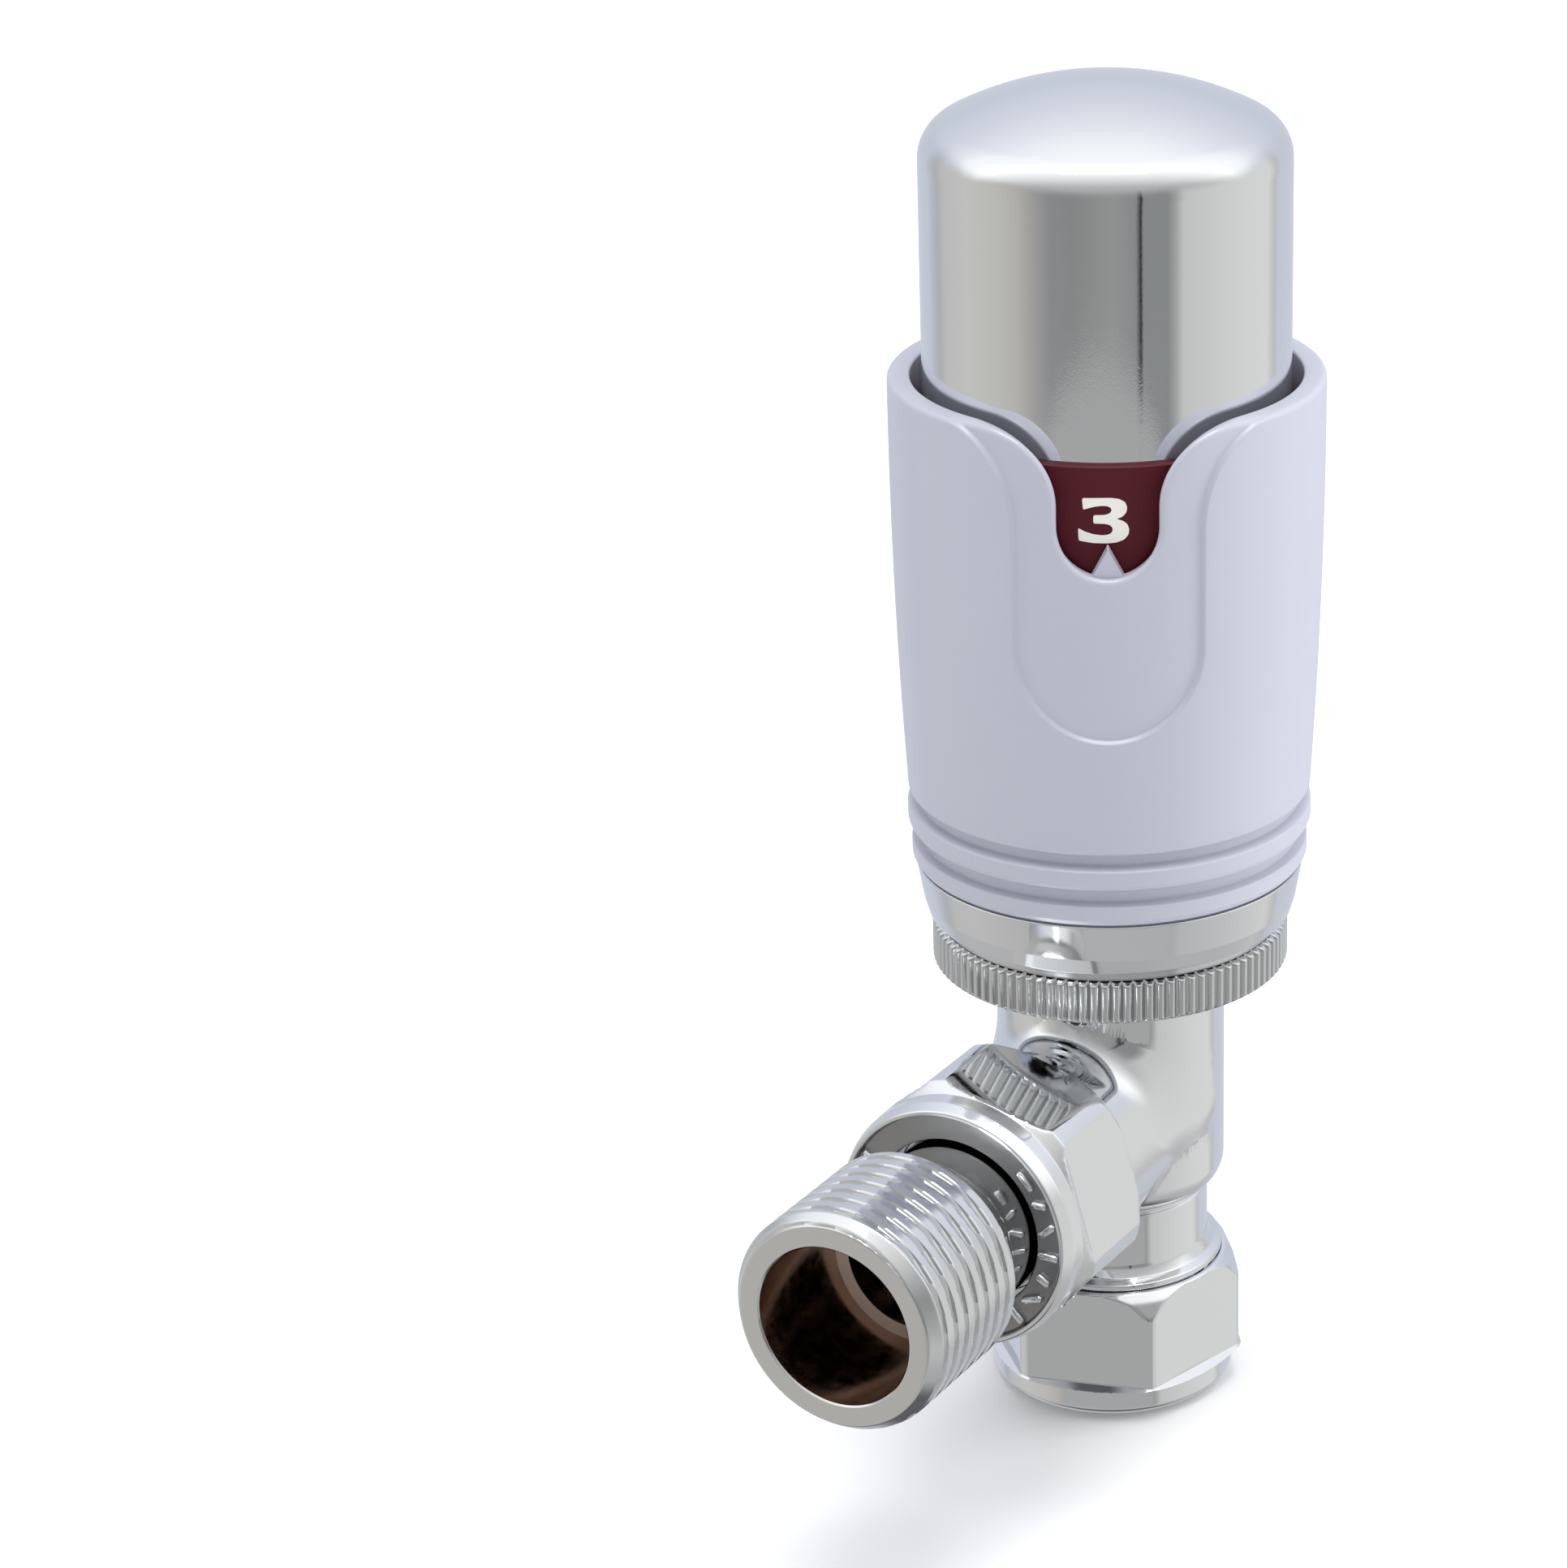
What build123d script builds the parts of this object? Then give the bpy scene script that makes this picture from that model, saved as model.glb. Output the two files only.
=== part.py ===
from build123d import *
import math
import os

# Thermostatic radiator valve, angle pattern, 15 mm compression x 1/2 inch BSP.
# Millimetres. The origin is the centre of the pipe entry, +Z runs up the valve axis,
# and the dial window of the head faces -Y.

# ---------------------------------------------------------------- edges and fits used throughout
edge = 0.4                  # ordinary edge break
fine_edge = 0.2
thread_chamfer = 0.6
fit_gap = 0.02              # smallest gap left between faces that almost touch
groove_gap = 0.1            # extra room in a seal groove

# ---------------------------------------------------------------- inlet and valve body
pipe_r = 7.6                # clear hole for a 15 mm copper pipe
pipe_stop_z = 19.0          # where the pipe end stops inside the body
passage_r = 6.2             # waterway from the pipe stop to the seat
body_bottom_z = 6.4
body_mouth_r = 9.0          # wide end of the cone that squeezes the olive
body_mouth_z = 8.6          # narrow end of that cone
inlet_thread_r = 9.9
inlet_thread_top_z = 12.2
bead_r = 10.6               # bead above the compression nut
bead_z = 13.4
bead_half = 0.5
neck_r = 9.2
neck_bottom_z = 14.6
neck_top_z = 20.2
barrel_r = 10.78
barrel_bottom_z = 22.8
barrel_foot_r = 9.88        # underside of the barrel, where it rounds in to the neck
barrel_foot_z = 21.05
barrel_bend_r = 10.43
barrel_bend_z = 21.65
barrel_top_z = 43.9
head_thread_r = 14.9        # M30 x 1.5 connection for the thermostatic head
head_thread_bottom_z = 44.4
head_thread_top_z = 52.6
chamber_r = 8.6
chamber_floor_z = 23.4
seat_r = 7.0
seat_z = 24.6
insert_bore_r = 9.3
insert_bore_z = 36.2

# ---------------------------------------------------------------- compression nut and olive
nut_height = 13.0
nut_apothem = 11.0
nut_corner_r = 12.6
nut_turn = 17.0             # angle of one hexagon corner from -Y, degrees
nut_skirt_r = 11.55
nut_skirt_z = 2.7
nut_ledge = 0.6             # rise and depth of the slope from the skirt to the flats
nut_foot_z = 0.95
nut_shoulder_z = 10.4       # top of the full corners
nut_bevel_r = 12.35
nut_bevel_z = 11.5
nut_rim_r = 11.4
nut_rim_z = 12.7
nut_thread_r = 10.1
nut_floor_z = 2.4
nut_thread_z = 4.9
nut_top_r = 10.9
olive_r = 8.8
olive_bottom_z = 3.0
olive_top_z = 7.9
olive_crest_z = 4.9
olive_crest_top_z = 5.3

# ---------------------------------------------------------------- side branch, union nut, tailpiece
tail_turn = 28.0            # angle of the branch from -Y towards -X, degrees
branch_z = 28.7
branch_r = 9.8
branch_bore_r = 6.8
branch_bore_start = 6.6     # inside the seat chamber
branch_thread_r = 9.7
branch_thread_start = 17.6
branch_end = 22.3
union_start = 17.0
union_back_r = 10.9
union_rear_r = 12.1
union_rear_end = 17.4
union_corner_start = 18.4
union_end = 31.1
union_corner_r = 12.9
union_apothem = 11.6
union_flat_turn = 76.0      # direction of one flat, from horizontal, seen from the tail end
union_flat_end = 27.3
union_corner_end = 27.0     # front of the full corners
union_ring_start = 28.2
union_ring_r = 12.0
union_ring_end = 30.1
union_bevel_r = 11.72
union_rim_r = 11.12
union_thread_r = 10.0
union_lip_r = 8.45
union_lip_start = 26.6
union_recess = 30.3
tail_collar_r = 9.65
tail_collar_end = 26.3
tail_neck_r = 8.05
tail_cone_start = 34.2
tail_cone_end = 37.3
tail_start = 22.8
tail_lead_start = 51.4
tail_lead_r = 9.62
tail_end = 51.9
tail_bore_r = 7.56          # wide outer bore that takes the fitting key
tail_bore_start = 38.8
tail_inner_r = 6.3
tail_thread_r = 10.48       # 1/2 inch BSP major radius
tail_root_r = 9.32
tail_pitch = 1.814
tail_crests = 7
tail_first_crest = 38.5
crest_width = 0.32
tail_face_r = 9.35
seal_r = 9.4
seal_hole_r = 7.1

# ---------------------------------------------------------------- valve insert and moving train
insert_r = 9.2
insert_bottom_z = 36.4
insert_flange_r = 11.0
insert_top_z = 54.3
spring_floor_z = 42.0
spring_bore_r = 4.8
spindle_r = 2.4
spindle_bore_r = 2.45
spindle_bottom_z = 29.2
spindle_top_z = 50.2
pin_r = 1.5
pin_top_z = 57.8
gland_r = 4.75
gland_bore_r = 1.6
gland_bottom_z = 51.6
gland_top_z = 54.9
gland_seal_z = 53.2
gland_seal_wire_r = 0.68
insert_seal_z = 40.0
insert_seal_wire_r = 0.65
insert_groove_r = 7.9
insert_groove_half = 0.8
clip_r = 4.4
clip_z = 48.6
clip_height = 0.6
return_wire_r = 0.35
return_coil_r = 3.6
return_turns = 6
lift_closed = 2.5           # travel from rest down to the closed seat
seat_gap = 0.05             # gap left between washer and seat at the end of that travel
washer_r = 7.4
washer_hole_r = 1.3
holder_r = 7.95
holder_top_z = 30.8
holder_boss_r = 3.6
holder_boss_top_z = 32.0
holder_skirt_z = 28.0
screw_head_r = 3.2
screw_head_height = 0.9

# ---------------------------------------------------------------- head: nut, collars and frame
knurl_r = 16.7
knurl_depth = 0.45
knurl_count = 100
knurl_land = 0.22           # half of a land's width, as a share of the pitch
knurl_edge_r = 16.2
knurl_bottom_z = 43.75
knurl_top_z = 48.05
head_nut_neck_r = 15.95
head_nut_top_z = 55.0
head_nut_bore_r = 15.1
head_nut_lip_r = 13.5
head_nut_lip_z = 54.2
cone_bottom_z = 49.1
cone_bottom_r = 17.05
cone_foot_z = 50.65
cone_foot_r = 17.5
cone_top_z = 54.2
cone_top_r = 18.12
cone_hole_r = 16.35
collar_bottom_z = 54.45
collar_band_r = 18.78
collar_low_band_r = 18.45
collar_hole_r = 16.4
groove_r = 17.6
groove_slope = 0.25
low_groove_bottom_z = 56.55
low_groove_top_z = 58.1
top_groove_r = 17.8
top_groove_bottom_z = 60.1
plate_bottom_z = 55.5
plate_top_z = 57.4
spigot_r = 17.7
spigot_hole_r = 16.6
spigot_top_z = 64.0
frame_r = 13.2
frame_bore_r = 11.2
frame_flange_r = 14.7
frame_bottom_z = 52.7
frame_flange_top_z = 53.9
frame_top_z = 97.0
slot_width = 6.0
slot_bottom_z = 62.0
slot_top_z = 80.0
guide_count = 3
ring_bottom_z = 94.1
ring_top_z = 94.9
ring_r = 14.2
ring_groove_r = 12.6
ring_gap = 3.0

# ---------------------------------------------------------------- head: sensor and carrier
carrier_r = 11.0
carrier_bore_r = 9.6
carrier_bottom_z = 61.5
carrier_floor_z = 63.0
carrier_top_z = 91.6
carrier_hole_r = 4.6
lug_width = 5.4
lug_reach = 14.1
lug_bottom_z = 69.0
lug_top_z = 73.0
sensor_r = 9.4
sensor_bottom_z = 63.1
sensor_top_z = 78.5
sensor_nose_r = 4.4
sensor_nose_z = 60.8
sensor_edge = 0.7
sensor_bore_r = 2.5
sensor_bore_top_z = 70.0
sensor_boss_r = 5.0
sensor_boss_top_z = 80.0
plunger_r = 2.2
plunger_top_z = 68.0
plunger_head_r = 3.6
plunger_head_top_z = 59.2
overtravel_wire_r = 0.75
overtravel_coil_r = 7.6
overtravel_turns = 4
cap_disc_z = 89.6
cap_disc_hole_r = 2.5

# ---------------------------------------------------------------- head: handwheel and outer sleeve
cap_r = 16.7
cap_wall = 1.2
cap_bottom_z = 86.0
cap_top_z = 128.0
cap_crown_r = 31.5
cap_shoulder_r = 3.9
scale_r = 17.4
scale_bottom_z = 85.5
scale_top_z = 97.8
drive_r = 15.5
drive_bore_r = 14.5
drive_bottom_z = 58.2
drive_top_z = 96.6
drive_lip_r = 13.5
drive_lip_bottom_z = 92.6
drive_lip_top_z = 93.6
stop_lug_r = 16.4
stop_lug_height = 2.0
stop_lug_half_angle = 6.0
stop_lug_overlap = 0.4      # how far the lug reaches into the wall that carries it
travel_back = 150.0         # handwheel travel towards the frost mark, degrees
travel_forward = 100.0      # handwheel travel towards fully open, degrees
stop_pin_r = 0.4
stop_pin_circle_r = 16.1
stop_pin_top_z = 60.6
stop_pin_margin = 2.0
sleeve_bore_r = 17.75
sleeve_bottom_z = 61.5
sleeve_bottom_r = 18.69
sleeve_belly_r = 19.52
sleeve_belly_z = 79.3
sleeve_top_z = 101.2
sleeve_top_r = 19.83
rim_round = 0.8
panel_depth = 0.45
panel_half_width = 8.4
panel_round_z = 81.0
panel_flare_z = 92.0
panel_flare_x = 15.5
window_half_width = 4.75
window_round_z = 92.5
scoop_centre_x = 11.0
scoop_centre_z = 95.0
pointer_tip_z = 90.9
pointer_half_width = 1.65
pointer_base_z = 87.6
pointer_r = 18.6
beyond = 3.0                # how far a cutter reaches past what it cuts

seat_washer_z = seat_z + lift_closed + seat_gap
tail_direction = Vector(-math.sin(math.radians(tail_turn)), -math.cos(math.radians(tail_turn)), 0)
tail_side = Vector(math.cos(math.radians(tail_turn)), -math.sin(math.radians(tail_turn)), 0)
tail_frame = Plane(origin=(0, 0, branch_z), x_dir=tail_side, z_dir=tail_direction)


# ---------------------------------------------------------------- shared shapes
def turned(*points):
    """Solid of revolution about Z from (radius, height) corners."""
    outline = Polyline(*points, close=True)
    return revolve(Plane.XZ * make_face(outline), Axis.Z)


def tube(outer_r, inner_r, bottom_z, top_z):
    """Straight ring between two heights."""
    return turned((inner_r, bottom_z), (outer_r, bottom_z), (outer_r, top_z), (inner_r, top_z))


def rod(radius, bottom_z, top_z):
    """Straight round bar on the Z axis."""
    return Pos(0, 0, bottom_z) * extrude(Circle(radius), top_z - bottom_z)


def o_ring(ring_radius, wire_radius, height):
    """Round-section ring lying level."""
    return Pos(0, 0, height) * Torus(ring_radius, wire_radius)


def coil(coil_r, wire_r, bottom_z, top_z, turns):
    """Round-wire compression spring between two heights, measured outside the wire."""
    rise = top_z - bottom_z - 2 * wire_r
    path = Pos(0, 0, bottom_z + wire_r) * Helix(pitch=rise / turns, height=rise, radius=coil_r)
    section = Plane(origin=path @ 0, z_dir=path % 0) * Circle(wire_r)
    return sweep(section, path=path, is_frenet=True)


def around(count, start, shape):
    """Copies of a shape spaced evenly about Z."""
    step = 360 / count
    return [Rot(0, 0, start + step * k) * shape for k in range(count)]


def at_angle(radius, angle):
    """Point on a circle about Z; the angle runs anticlockwise from +X."""
    return (radius * math.cos(math.radians(angle)), radius * math.sin(math.radians(angle)))


# ---------------------------------------------------------------- inlet and valve body
def body_shell():
    outside = turned(
        (0, body_bottom_z),
        (inlet_thread_r - thread_chamfer, body_bottom_z),
        (inlet_thread_r, body_bottom_z + thread_chamfer),
        (inlet_thread_r, inlet_thread_top_z),
        (neck_r, inlet_thread_top_z + bead_half),
        (bead_r - edge, bead_z - bead_half),
        (bead_r, bead_z),
        (bead_r - edge, bead_z + bead_half),
        (neck_r + edge, neck_bottom_z - edge),
        (neck_r, neck_bottom_z),
        (neck_r, neck_top_z),
        (neck_r + edge, neck_top_z + edge),
        (barrel_foot_r, barrel_foot_z),
        (barrel_bend_r, barrel_bend_z),
        (barrel_r, barrel_bottom_z),
        (barrel_r, barrel_top_z),
        (head_thread_r - thread_chamfer, head_thread_bottom_z),
        (head_thread_r, head_thread_bottom_z + thread_chamfer),
        (head_thread_r, head_thread_top_z - thread_chamfer),
        (head_thread_r - thread_chamfer, head_thread_top_z),
        (0, head_thread_top_z),
    )
    branch = tail_frame * rod(branch_r, 0, branch_thread_start)
    branch_thread = tail_frame * rod(branch_thread_r, branch_thread_start, branch_end)
    return outside + branch + branch_thread


def body_waterway():
    inlet = turned(
        (0, body_bottom_z),
        (body_mouth_r, body_bottom_z),
        (pipe_r, body_mouth_z),
        (pipe_r, pipe_stop_z),
        (passage_r, pipe_stop_z),
        (passage_r, seat_z),
        (seat_r, seat_z),
        (seat_r, chamber_floor_z),
        (chamber_r, chamber_floor_z),
        (chamber_r, insert_bore_z),
        (insert_bore_r, insert_bore_z),
        (insert_bore_r, head_thread_top_z),
        (0, head_thread_top_z),
    )
    outlet = tail_frame * rod(branch_bore_r, branch_bore_start, branch_end)
    return inlet + outlet


def valve_body():
    return body_shell() - body_waterway()


def compression_nut():
    outline = turned(
        (0, nut_skirt_z - nut_ledge),
        (nut_skirt_r, nut_skirt_z - nut_ledge),
        (nut_corner_r, nut_skirt_z + nut_ledge),
        (nut_corner_r, nut_shoulder_z),
        (nut_bevel_r, nut_bevel_z),
        (nut_rim_r, nut_rim_z),
        (nut_top_r, nut_height),
        (0, nut_height),
    )
    hexagon = RegularPolygon(nut_apothem, 6, major_radius=False)
    flats = Rot(0, 0, nut_turn - 90) * extrude(hexagon, nut_height)
    skirt = turned(
        (0, 0),
        (nut_skirt_r - nut_foot_z, 0),
        (nut_skirt_r - fine_edge, fine_edge),
        (nut_skirt_r, nut_foot_z),
        (nut_skirt_r, nut_skirt_z),
        (nut_skirt_r - nut_ledge, nut_skirt_z + nut_ledge),
        (0, nut_skirt_z + nut_ledge),
    )
    inside = turned(
        (0, 0),
        (pipe_r, 0),
        (pipe_r, nut_floor_z),
        (nut_thread_r, nut_thread_z),
        (nut_thread_r, nut_height - thread_chamfer),
        (nut_thread_r + thread_chamfer, nut_height),
        (0, nut_height),
    )
    return (outline & flats) + skirt - inside


def olive():
    return turned(
        (pipe_r, olive_bottom_z),
        (pipe_r + edge, olive_bottom_z),
        (olive_r, olive_crest_z),
        (olive_r, olive_crest_top_z),
        (pipe_r + edge, olive_top_z),
        (pipe_r, olive_top_z),
    )


# ---------------------------------------------------------------- union nut and tailpiece
def union_flat_cutter():
    """Flat of the hexagon, whose front end slopes out to the round ring."""
    outside_r = union_corner_r + beyond
    profile = Polyline(
        (union_apothem, union_start - beyond),
        (outside_r, union_start - beyond),
        (outside_r, union_ring_start),
        (union_ring_r + fit_gap, union_ring_start),
        (union_apothem, union_flat_end),
        close=True,
    )
    return extrude(Plane.XZ * make_face(profile), union_corner_r, both=True)


def union_nut():
    nut = turned(
        (union_thread_r, union_start),
        (union_back_r, union_start),
        (union_rear_r, union_rear_end),
        (union_corner_r, union_corner_start),
        (union_corner_r, union_corner_end),
        (union_ring_r, union_ring_start),
        (union_bevel_r, union_ring_end),
        (union_rim_r + fine_edge, union_end),
        (union_rim_r, union_end),
        (union_rim_r - fine_edge, union_recess),
        (union_lip_r, union_recess),
        (union_lip_r, union_lip_start),
        (union_thread_r, union_lip_start),
    )
    for cutter in around(6, union_flat_turn, union_flat_cutter()):
        nut = nut - cutter
    return tail_frame * nut


def tail_thread():
    """Outline corners of the external thread, drawn as level ridges of one height."""
    corners = []
    for k in range(tail_crests):
        middle = tail_first_crest + k * tail_pitch
        corners += [
            (tail_root_r, middle - tail_pitch / 2 + crest_width / 2),
            (tail_thread_r, middle - crest_width / 2),
            (tail_thread_r, middle + crest_width / 2),
            (tail_root_r, middle + tail_pitch / 2 - crest_width / 2),
        ]
    return corners


def tailpiece():
    piece = turned(
        (tail_inner_r, tail_start),
        (tail_collar_r, tail_start),
        (tail_collar_r, tail_collar_end),
        (tail_neck_r, tail_collar_end),
        (tail_neck_r, tail_cone_start),
        (tail_root_r, tail_cone_end),
        *tail_thread(),
        (tail_lead_r, tail_lead_start),
        (tail_face_r, tail_end),
        (tail_bore_r, tail_end),
        (tail_bore_r, tail_bore_start),
        (tail_inner_r, tail_bore_start),
    )
    return tail_frame * piece


def tail_seal():
    return tail_frame * tube(seal_r, seal_hole_r, branch_end, tail_start)


# ---------------------------------------------------------------- valve insert and moving train
def valve_insert():
    blank = turned(
        (spindle_bore_r, insert_bottom_z),
        (insert_r, insert_bottom_z),
        (insert_r, insert_seal_z - insert_groove_half),
        (insert_groove_r, insert_seal_z - insert_groove_half),
        (insert_groove_r, insert_seal_z + insert_groove_half),
        (insert_r, insert_seal_z + insert_groove_half),
        (insert_r, head_thread_top_z),
        (insert_flange_r, head_thread_top_z),
        (insert_flange_r, insert_top_z),
        (spring_bore_r, insert_top_z),
        (spring_bore_r, spring_floor_z),
        (spindle_bore_r, spring_floor_z),
    )
    return blank


def insert_seal():
    return o_ring(insert_groove_r + insert_seal_wire_r + fit_gap, insert_seal_wire_r, insert_seal_z)


def gland_nut():
    groove_half = gland_seal_wire_r + groove_gap
    groove_floor_r = gland_bore_r + 2 * gland_seal_wire_r + groove_gap
    return turned(
        (gland_bore_r, gland_bottom_z),
        (gland_r, gland_bottom_z),
        (gland_r, gland_top_z),
        (gland_bore_r, gland_top_z),
        (gland_bore_r, gland_seal_z + groove_half),
        (groove_floor_r, gland_seal_z + groove_half),
        (groove_floor_r, gland_seal_z - groove_half),
        (gland_bore_r, gland_seal_z - groove_half),
    )


def gland_seal():
    return o_ring(gland_bore_r + gland_seal_wire_r + fit_gap, gland_seal_wire_r, gland_seal_z)


def pressure_pin():
    return rod(pin_r, spindle_top_z, pin_top_z)


def spindle():
    return rod(spindle_r, spindle_bottom_z, spindle_top_z)


def spring_clip():
    return tube(clip_r, spindle_r, clip_z, clip_z + clip_height)


def return_spring():
    return coil(return_coil_r, return_wire_r, spring_floor_z, clip_z, return_turns)


def disc_holder():
    return turned(
        (spindle_r, spindle_bottom_z),
        (washer_r, spindle_bottom_z),
        (washer_r, holder_skirt_z),
        (holder_r, holder_skirt_z),
        (holder_r, holder_top_z - edge),
        (holder_r - edge, holder_top_z),
        (holder_boss_r, holder_top_z),
        (holder_boss_r, holder_boss_top_z),
        (spindle_r, holder_boss_top_z),
    )


def seat_washer():
    return tube(washer_r, washer_hole_r, seat_washer_z, spindle_bottom_z)


def washer_screw():
    head = rod(screw_head_r, seat_washer_z - screw_head_height, seat_washer_z)
    shank = rod(washer_hole_r, seat_washer_z, spindle_bottom_z)
    return head + shank


# ---------------------------------------------------------------- head: nut, collars and frame
def knurled_outline():
    """Round outline with straight V flutes all round."""
    points = []
    step = 360 / knurl_count
    for k in range(knurl_count):
        points.append(at_angle(knurl_r, step * (k - knurl_land)))
        points.append(at_angle(knurl_r, step * (k + knurl_land)))
        points.append(at_angle(knurl_r - knurl_depth, step * (k + 1 / 2)))
    return make_face(Polyline(*points, close=True))


def head_nut():
    fluted = Pos(0, 0, knurl_bottom_z) * extrude(knurled_outline(), knurl_top_z - knurl_bottom_z)
    bounds = turned(
        (0, knurl_bottom_z),
        (knurl_edge_r, knurl_bottom_z),
        (knurl_r, knurl_bottom_z + edge),
        (knurl_r, knurl_top_z - edge),
        (knurl_edge_r, knurl_top_z),
        (0, knurl_top_z),
    )
    neck = rod(head_nut_neck_r, knurl_top_z, head_nut_top_z)
    inside = turned(
        (0, knurl_bottom_z),
        (head_nut_bore_r + edge, knurl_bottom_z),
        (head_nut_bore_r, knurl_bottom_z + edge),
        (head_nut_bore_r, head_nut_lip_z),
        (head_nut_lip_r, head_nut_lip_z),
        (head_nut_lip_r, head_nut_top_z),
        (0, head_nut_top_z),
    )
    return (fluted & bounds) + neck - inside


def chrome_collar():
    return turned(
        (cone_hole_r, cone_bottom_z),
        (cone_bottom_r, cone_bottom_z),
        (cone_foot_r, cone_foot_z),
        (cone_top_r, cone_top_z),
        (cone_foot_r, cone_top_z),
        (cone_foot_r, collar_bottom_z),
        (cone_hole_r, collar_bottom_z),
    )


def base_collar():
    return turned(
        (frame_r, plate_bottom_z),
        (collar_hole_r, plate_bottom_z),
        (collar_hole_r, collar_bottom_z),
        (cone_top_r, collar_bottom_z),
        (collar_low_band_r, collar_bottom_z + edge),
        (collar_low_band_r, low_groove_bottom_z - edge),
        (collar_low_band_r - fine_edge, low_groove_bottom_z),
        (groove_r, low_groove_bottom_z + groove_slope),
        (groove_r, low_groove_top_z),
        (collar_band_r - fine_edge, low_groove_top_z),
        (collar_band_r, low_groove_top_z + edge),
        (collar_band_r, top_groove_bottom_z - edge),
        (collar_band_r - fine_edge, top_groove_bottom_z),
        (top_groove_r, top_groove_bottom_z + groove_slope),
        (top_groove_r, sleeve_bottom_z),
        (spigot_r, sleeve_bottom_z),
        (spigot_r, spigot_top_z),
        (spigot_hole_r, spigot_top_z),
        (spigot_hole_r, plate_top_z),
        (frame_r, plate_top_z),
    )


def sensor_frame():
    frame = turned(
        (frame_bore_r, frame_bottom_z),
        (frame_flange_r, frame_bottom_z),
        (frame_flange_r, frame_flange_top_z),
        (frame_r, frame_flange_top_z),
        (frame_r, ring_bottom_z),
        (ring_groove_r, ring_bottom_z),
        (ring_groove_r, ring_top_z),
        (frame_r, ring_top_z),
        (frame_r, frame_top_z),
        (frame_bore_r, frame_top_z),
    )
    slot_height = slot_top_z - slot_bottom_z
    slot_length = 3 * (frame_r - frame_bore_r)
    slot = Box(slot_length, slot_width, slot_height)
    slot = Pos(frame_r, 0, slot_bottom_z + slot_height / 2) * slot
    for cutter in around(guide_count, 90, slot):
        frame = frame - cutter
    return frame


def retaining_ring():
    ring = tube(ring_r, ring_groove_r, ring_bottom_z, ring_top_z)
    opening = Pos(0, -ring_r, (ring_bottom_z + ring_top_z) / 2) * Box(ring_gap, 2 * ring_r, beyond)
    return ring - opening


def limit_pins():
    stop_angle = stop_lug_half_angle + stop_pin_margin
    pins = []
    for angle in (90 + travel_forward + stop_angle, 90 - travel_back - stop_angle):
        x, y = at_angle(stop_pin_circle_r, angle)
        pins.append(Pos(x, y, 0) * rod(stop_pin_r, plate_top_z, stop_pin_top_z))
    return Compound(children=pins)


# ---------------------------------------------------------------- head: sensor and carrier
def sensor_carrier():
    cup = turned(
        (carrier_hole_r, carrier_bottom_z),
        (carrier_r, carrier_bottom_z),
        (carrier_r, carrier_top_z),
        (carrier_bore_r, carrier_top_z),
        (carrier_bore_r, carrier_floor_z),
        (carrier_hole_r, carrier_floor_z),
    )
    lug_height = lug_top_z - lug_bottom_z
    lug_length = lug_reach - carrier_bore_r
    lug = Box(lug_length, lug_width, lug_height)
    lug = Pos(carrier_bore_r + lug_length / 2, 0, lug_bottom_z + lug_height / 2) * lug
    lug = lug - rod(carrier_bore_r + edge, lug_bottom_z, lug_top_z)
    for arm in around(guide_count, 90, lug):
        cup = cup + arm
    return cup


def thermostat_sensor():
    return turned(
        (sensor_bore_r, sensor_nose_z),
        (sensor_nose_r, sensor_nose_z),
        (sensor_nose_r, sensor_bottom_z),
        (sensor_r - sensor_edge, sensor_bottom_z),
        (sensor_r, sensor_bottom_z + sensor_edge),
        (sensor_r, sensor_top_z - sensor_edge),
        (sensor_r - sensor_edge, sensor_top_z),
        (sensor_boss_r, sensor_top_z),
        (sensor_boss_r - edge, sensor_boss_top_z),
        (0, sensor_boss_top_z),
        (0, sensor_bore_top_z),
        (sensor_bore_r, sensor_bore_top_z),
    )


def sensor_plunger():
    head = rod(plunger_head_r, pin_top_z, plunger_head_top_z)
    stem = rod(plunger_r, plunger_head_top_z, plunger_top_z)
    return head + stem


def overtravel_spring():
    return coil(overtravel_coil_r, overtravel_wire_r, sensor_top_z, cap_disc_z, overtravel_turns)


def carrier_cap():
    return tube(carrier_bore_r, cap_disc_hole_r, cap_disc_z, carrier_top_z)


# ---------------------------------------------------------------- head: handwheel and outer sleeve
def dome(radius, crown_r, shoulder_r, top_z, bottom_z):
    """Closed cylinder with a crowned top and a round shoulder tangent to both."""
    crown_z = top_z - crown_r
    shoulder_x = radius - shoulder_r
    shoulder_z = crown_z + math.sqrt((crown_r - shoulder_r) ** 2 - shoulder_x ** 2)
    lean = math.atan2(shoulder_x, shoulder_z - crown_z)
    join = (crown_r * math.sin(lean), crown_z + crown_r * math.cos(lean))
    half = (crown_r * math.sin(lean / 2), crown_z + crown_r * math.cos(lean / 2))
    turn = (lean + math.pi / 2) / 2
    bend = (shoulder_x + shoulder_r * math.sin(turn), shoulder_z + shoulder_r * math.cos(turn))
    crown = ThreePointArc((0, top_z), half, join)
    shoulder = ThreePointArc(join, bend, (radius, shoulder_z))
    side = Polyline((radius, shoulder_z), (radius, bottom_z), (0, bottom_z), (0, top_z))
    return revolve(Plane.XZ * make_face(crown + shoulder + side), Axis.Z)


def chrome_cap():
    outside = dome(cap_r, cap_crown_r, cap_shoulder_r, cap_top_z, cap_bottom_z)
    hollow = dome(
        cap_r - cap_wall,
        cap_crown_r - cap_wall,
        cap_shoulder_r - cap_wall,
        cap_top_z - cap_wall,
        cap_bottom_z,
    )
    return outside - hollow


def scale_ring():
    return tube(scale_r, cap_r, scale_bottom_z, scale_top_z)


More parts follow.
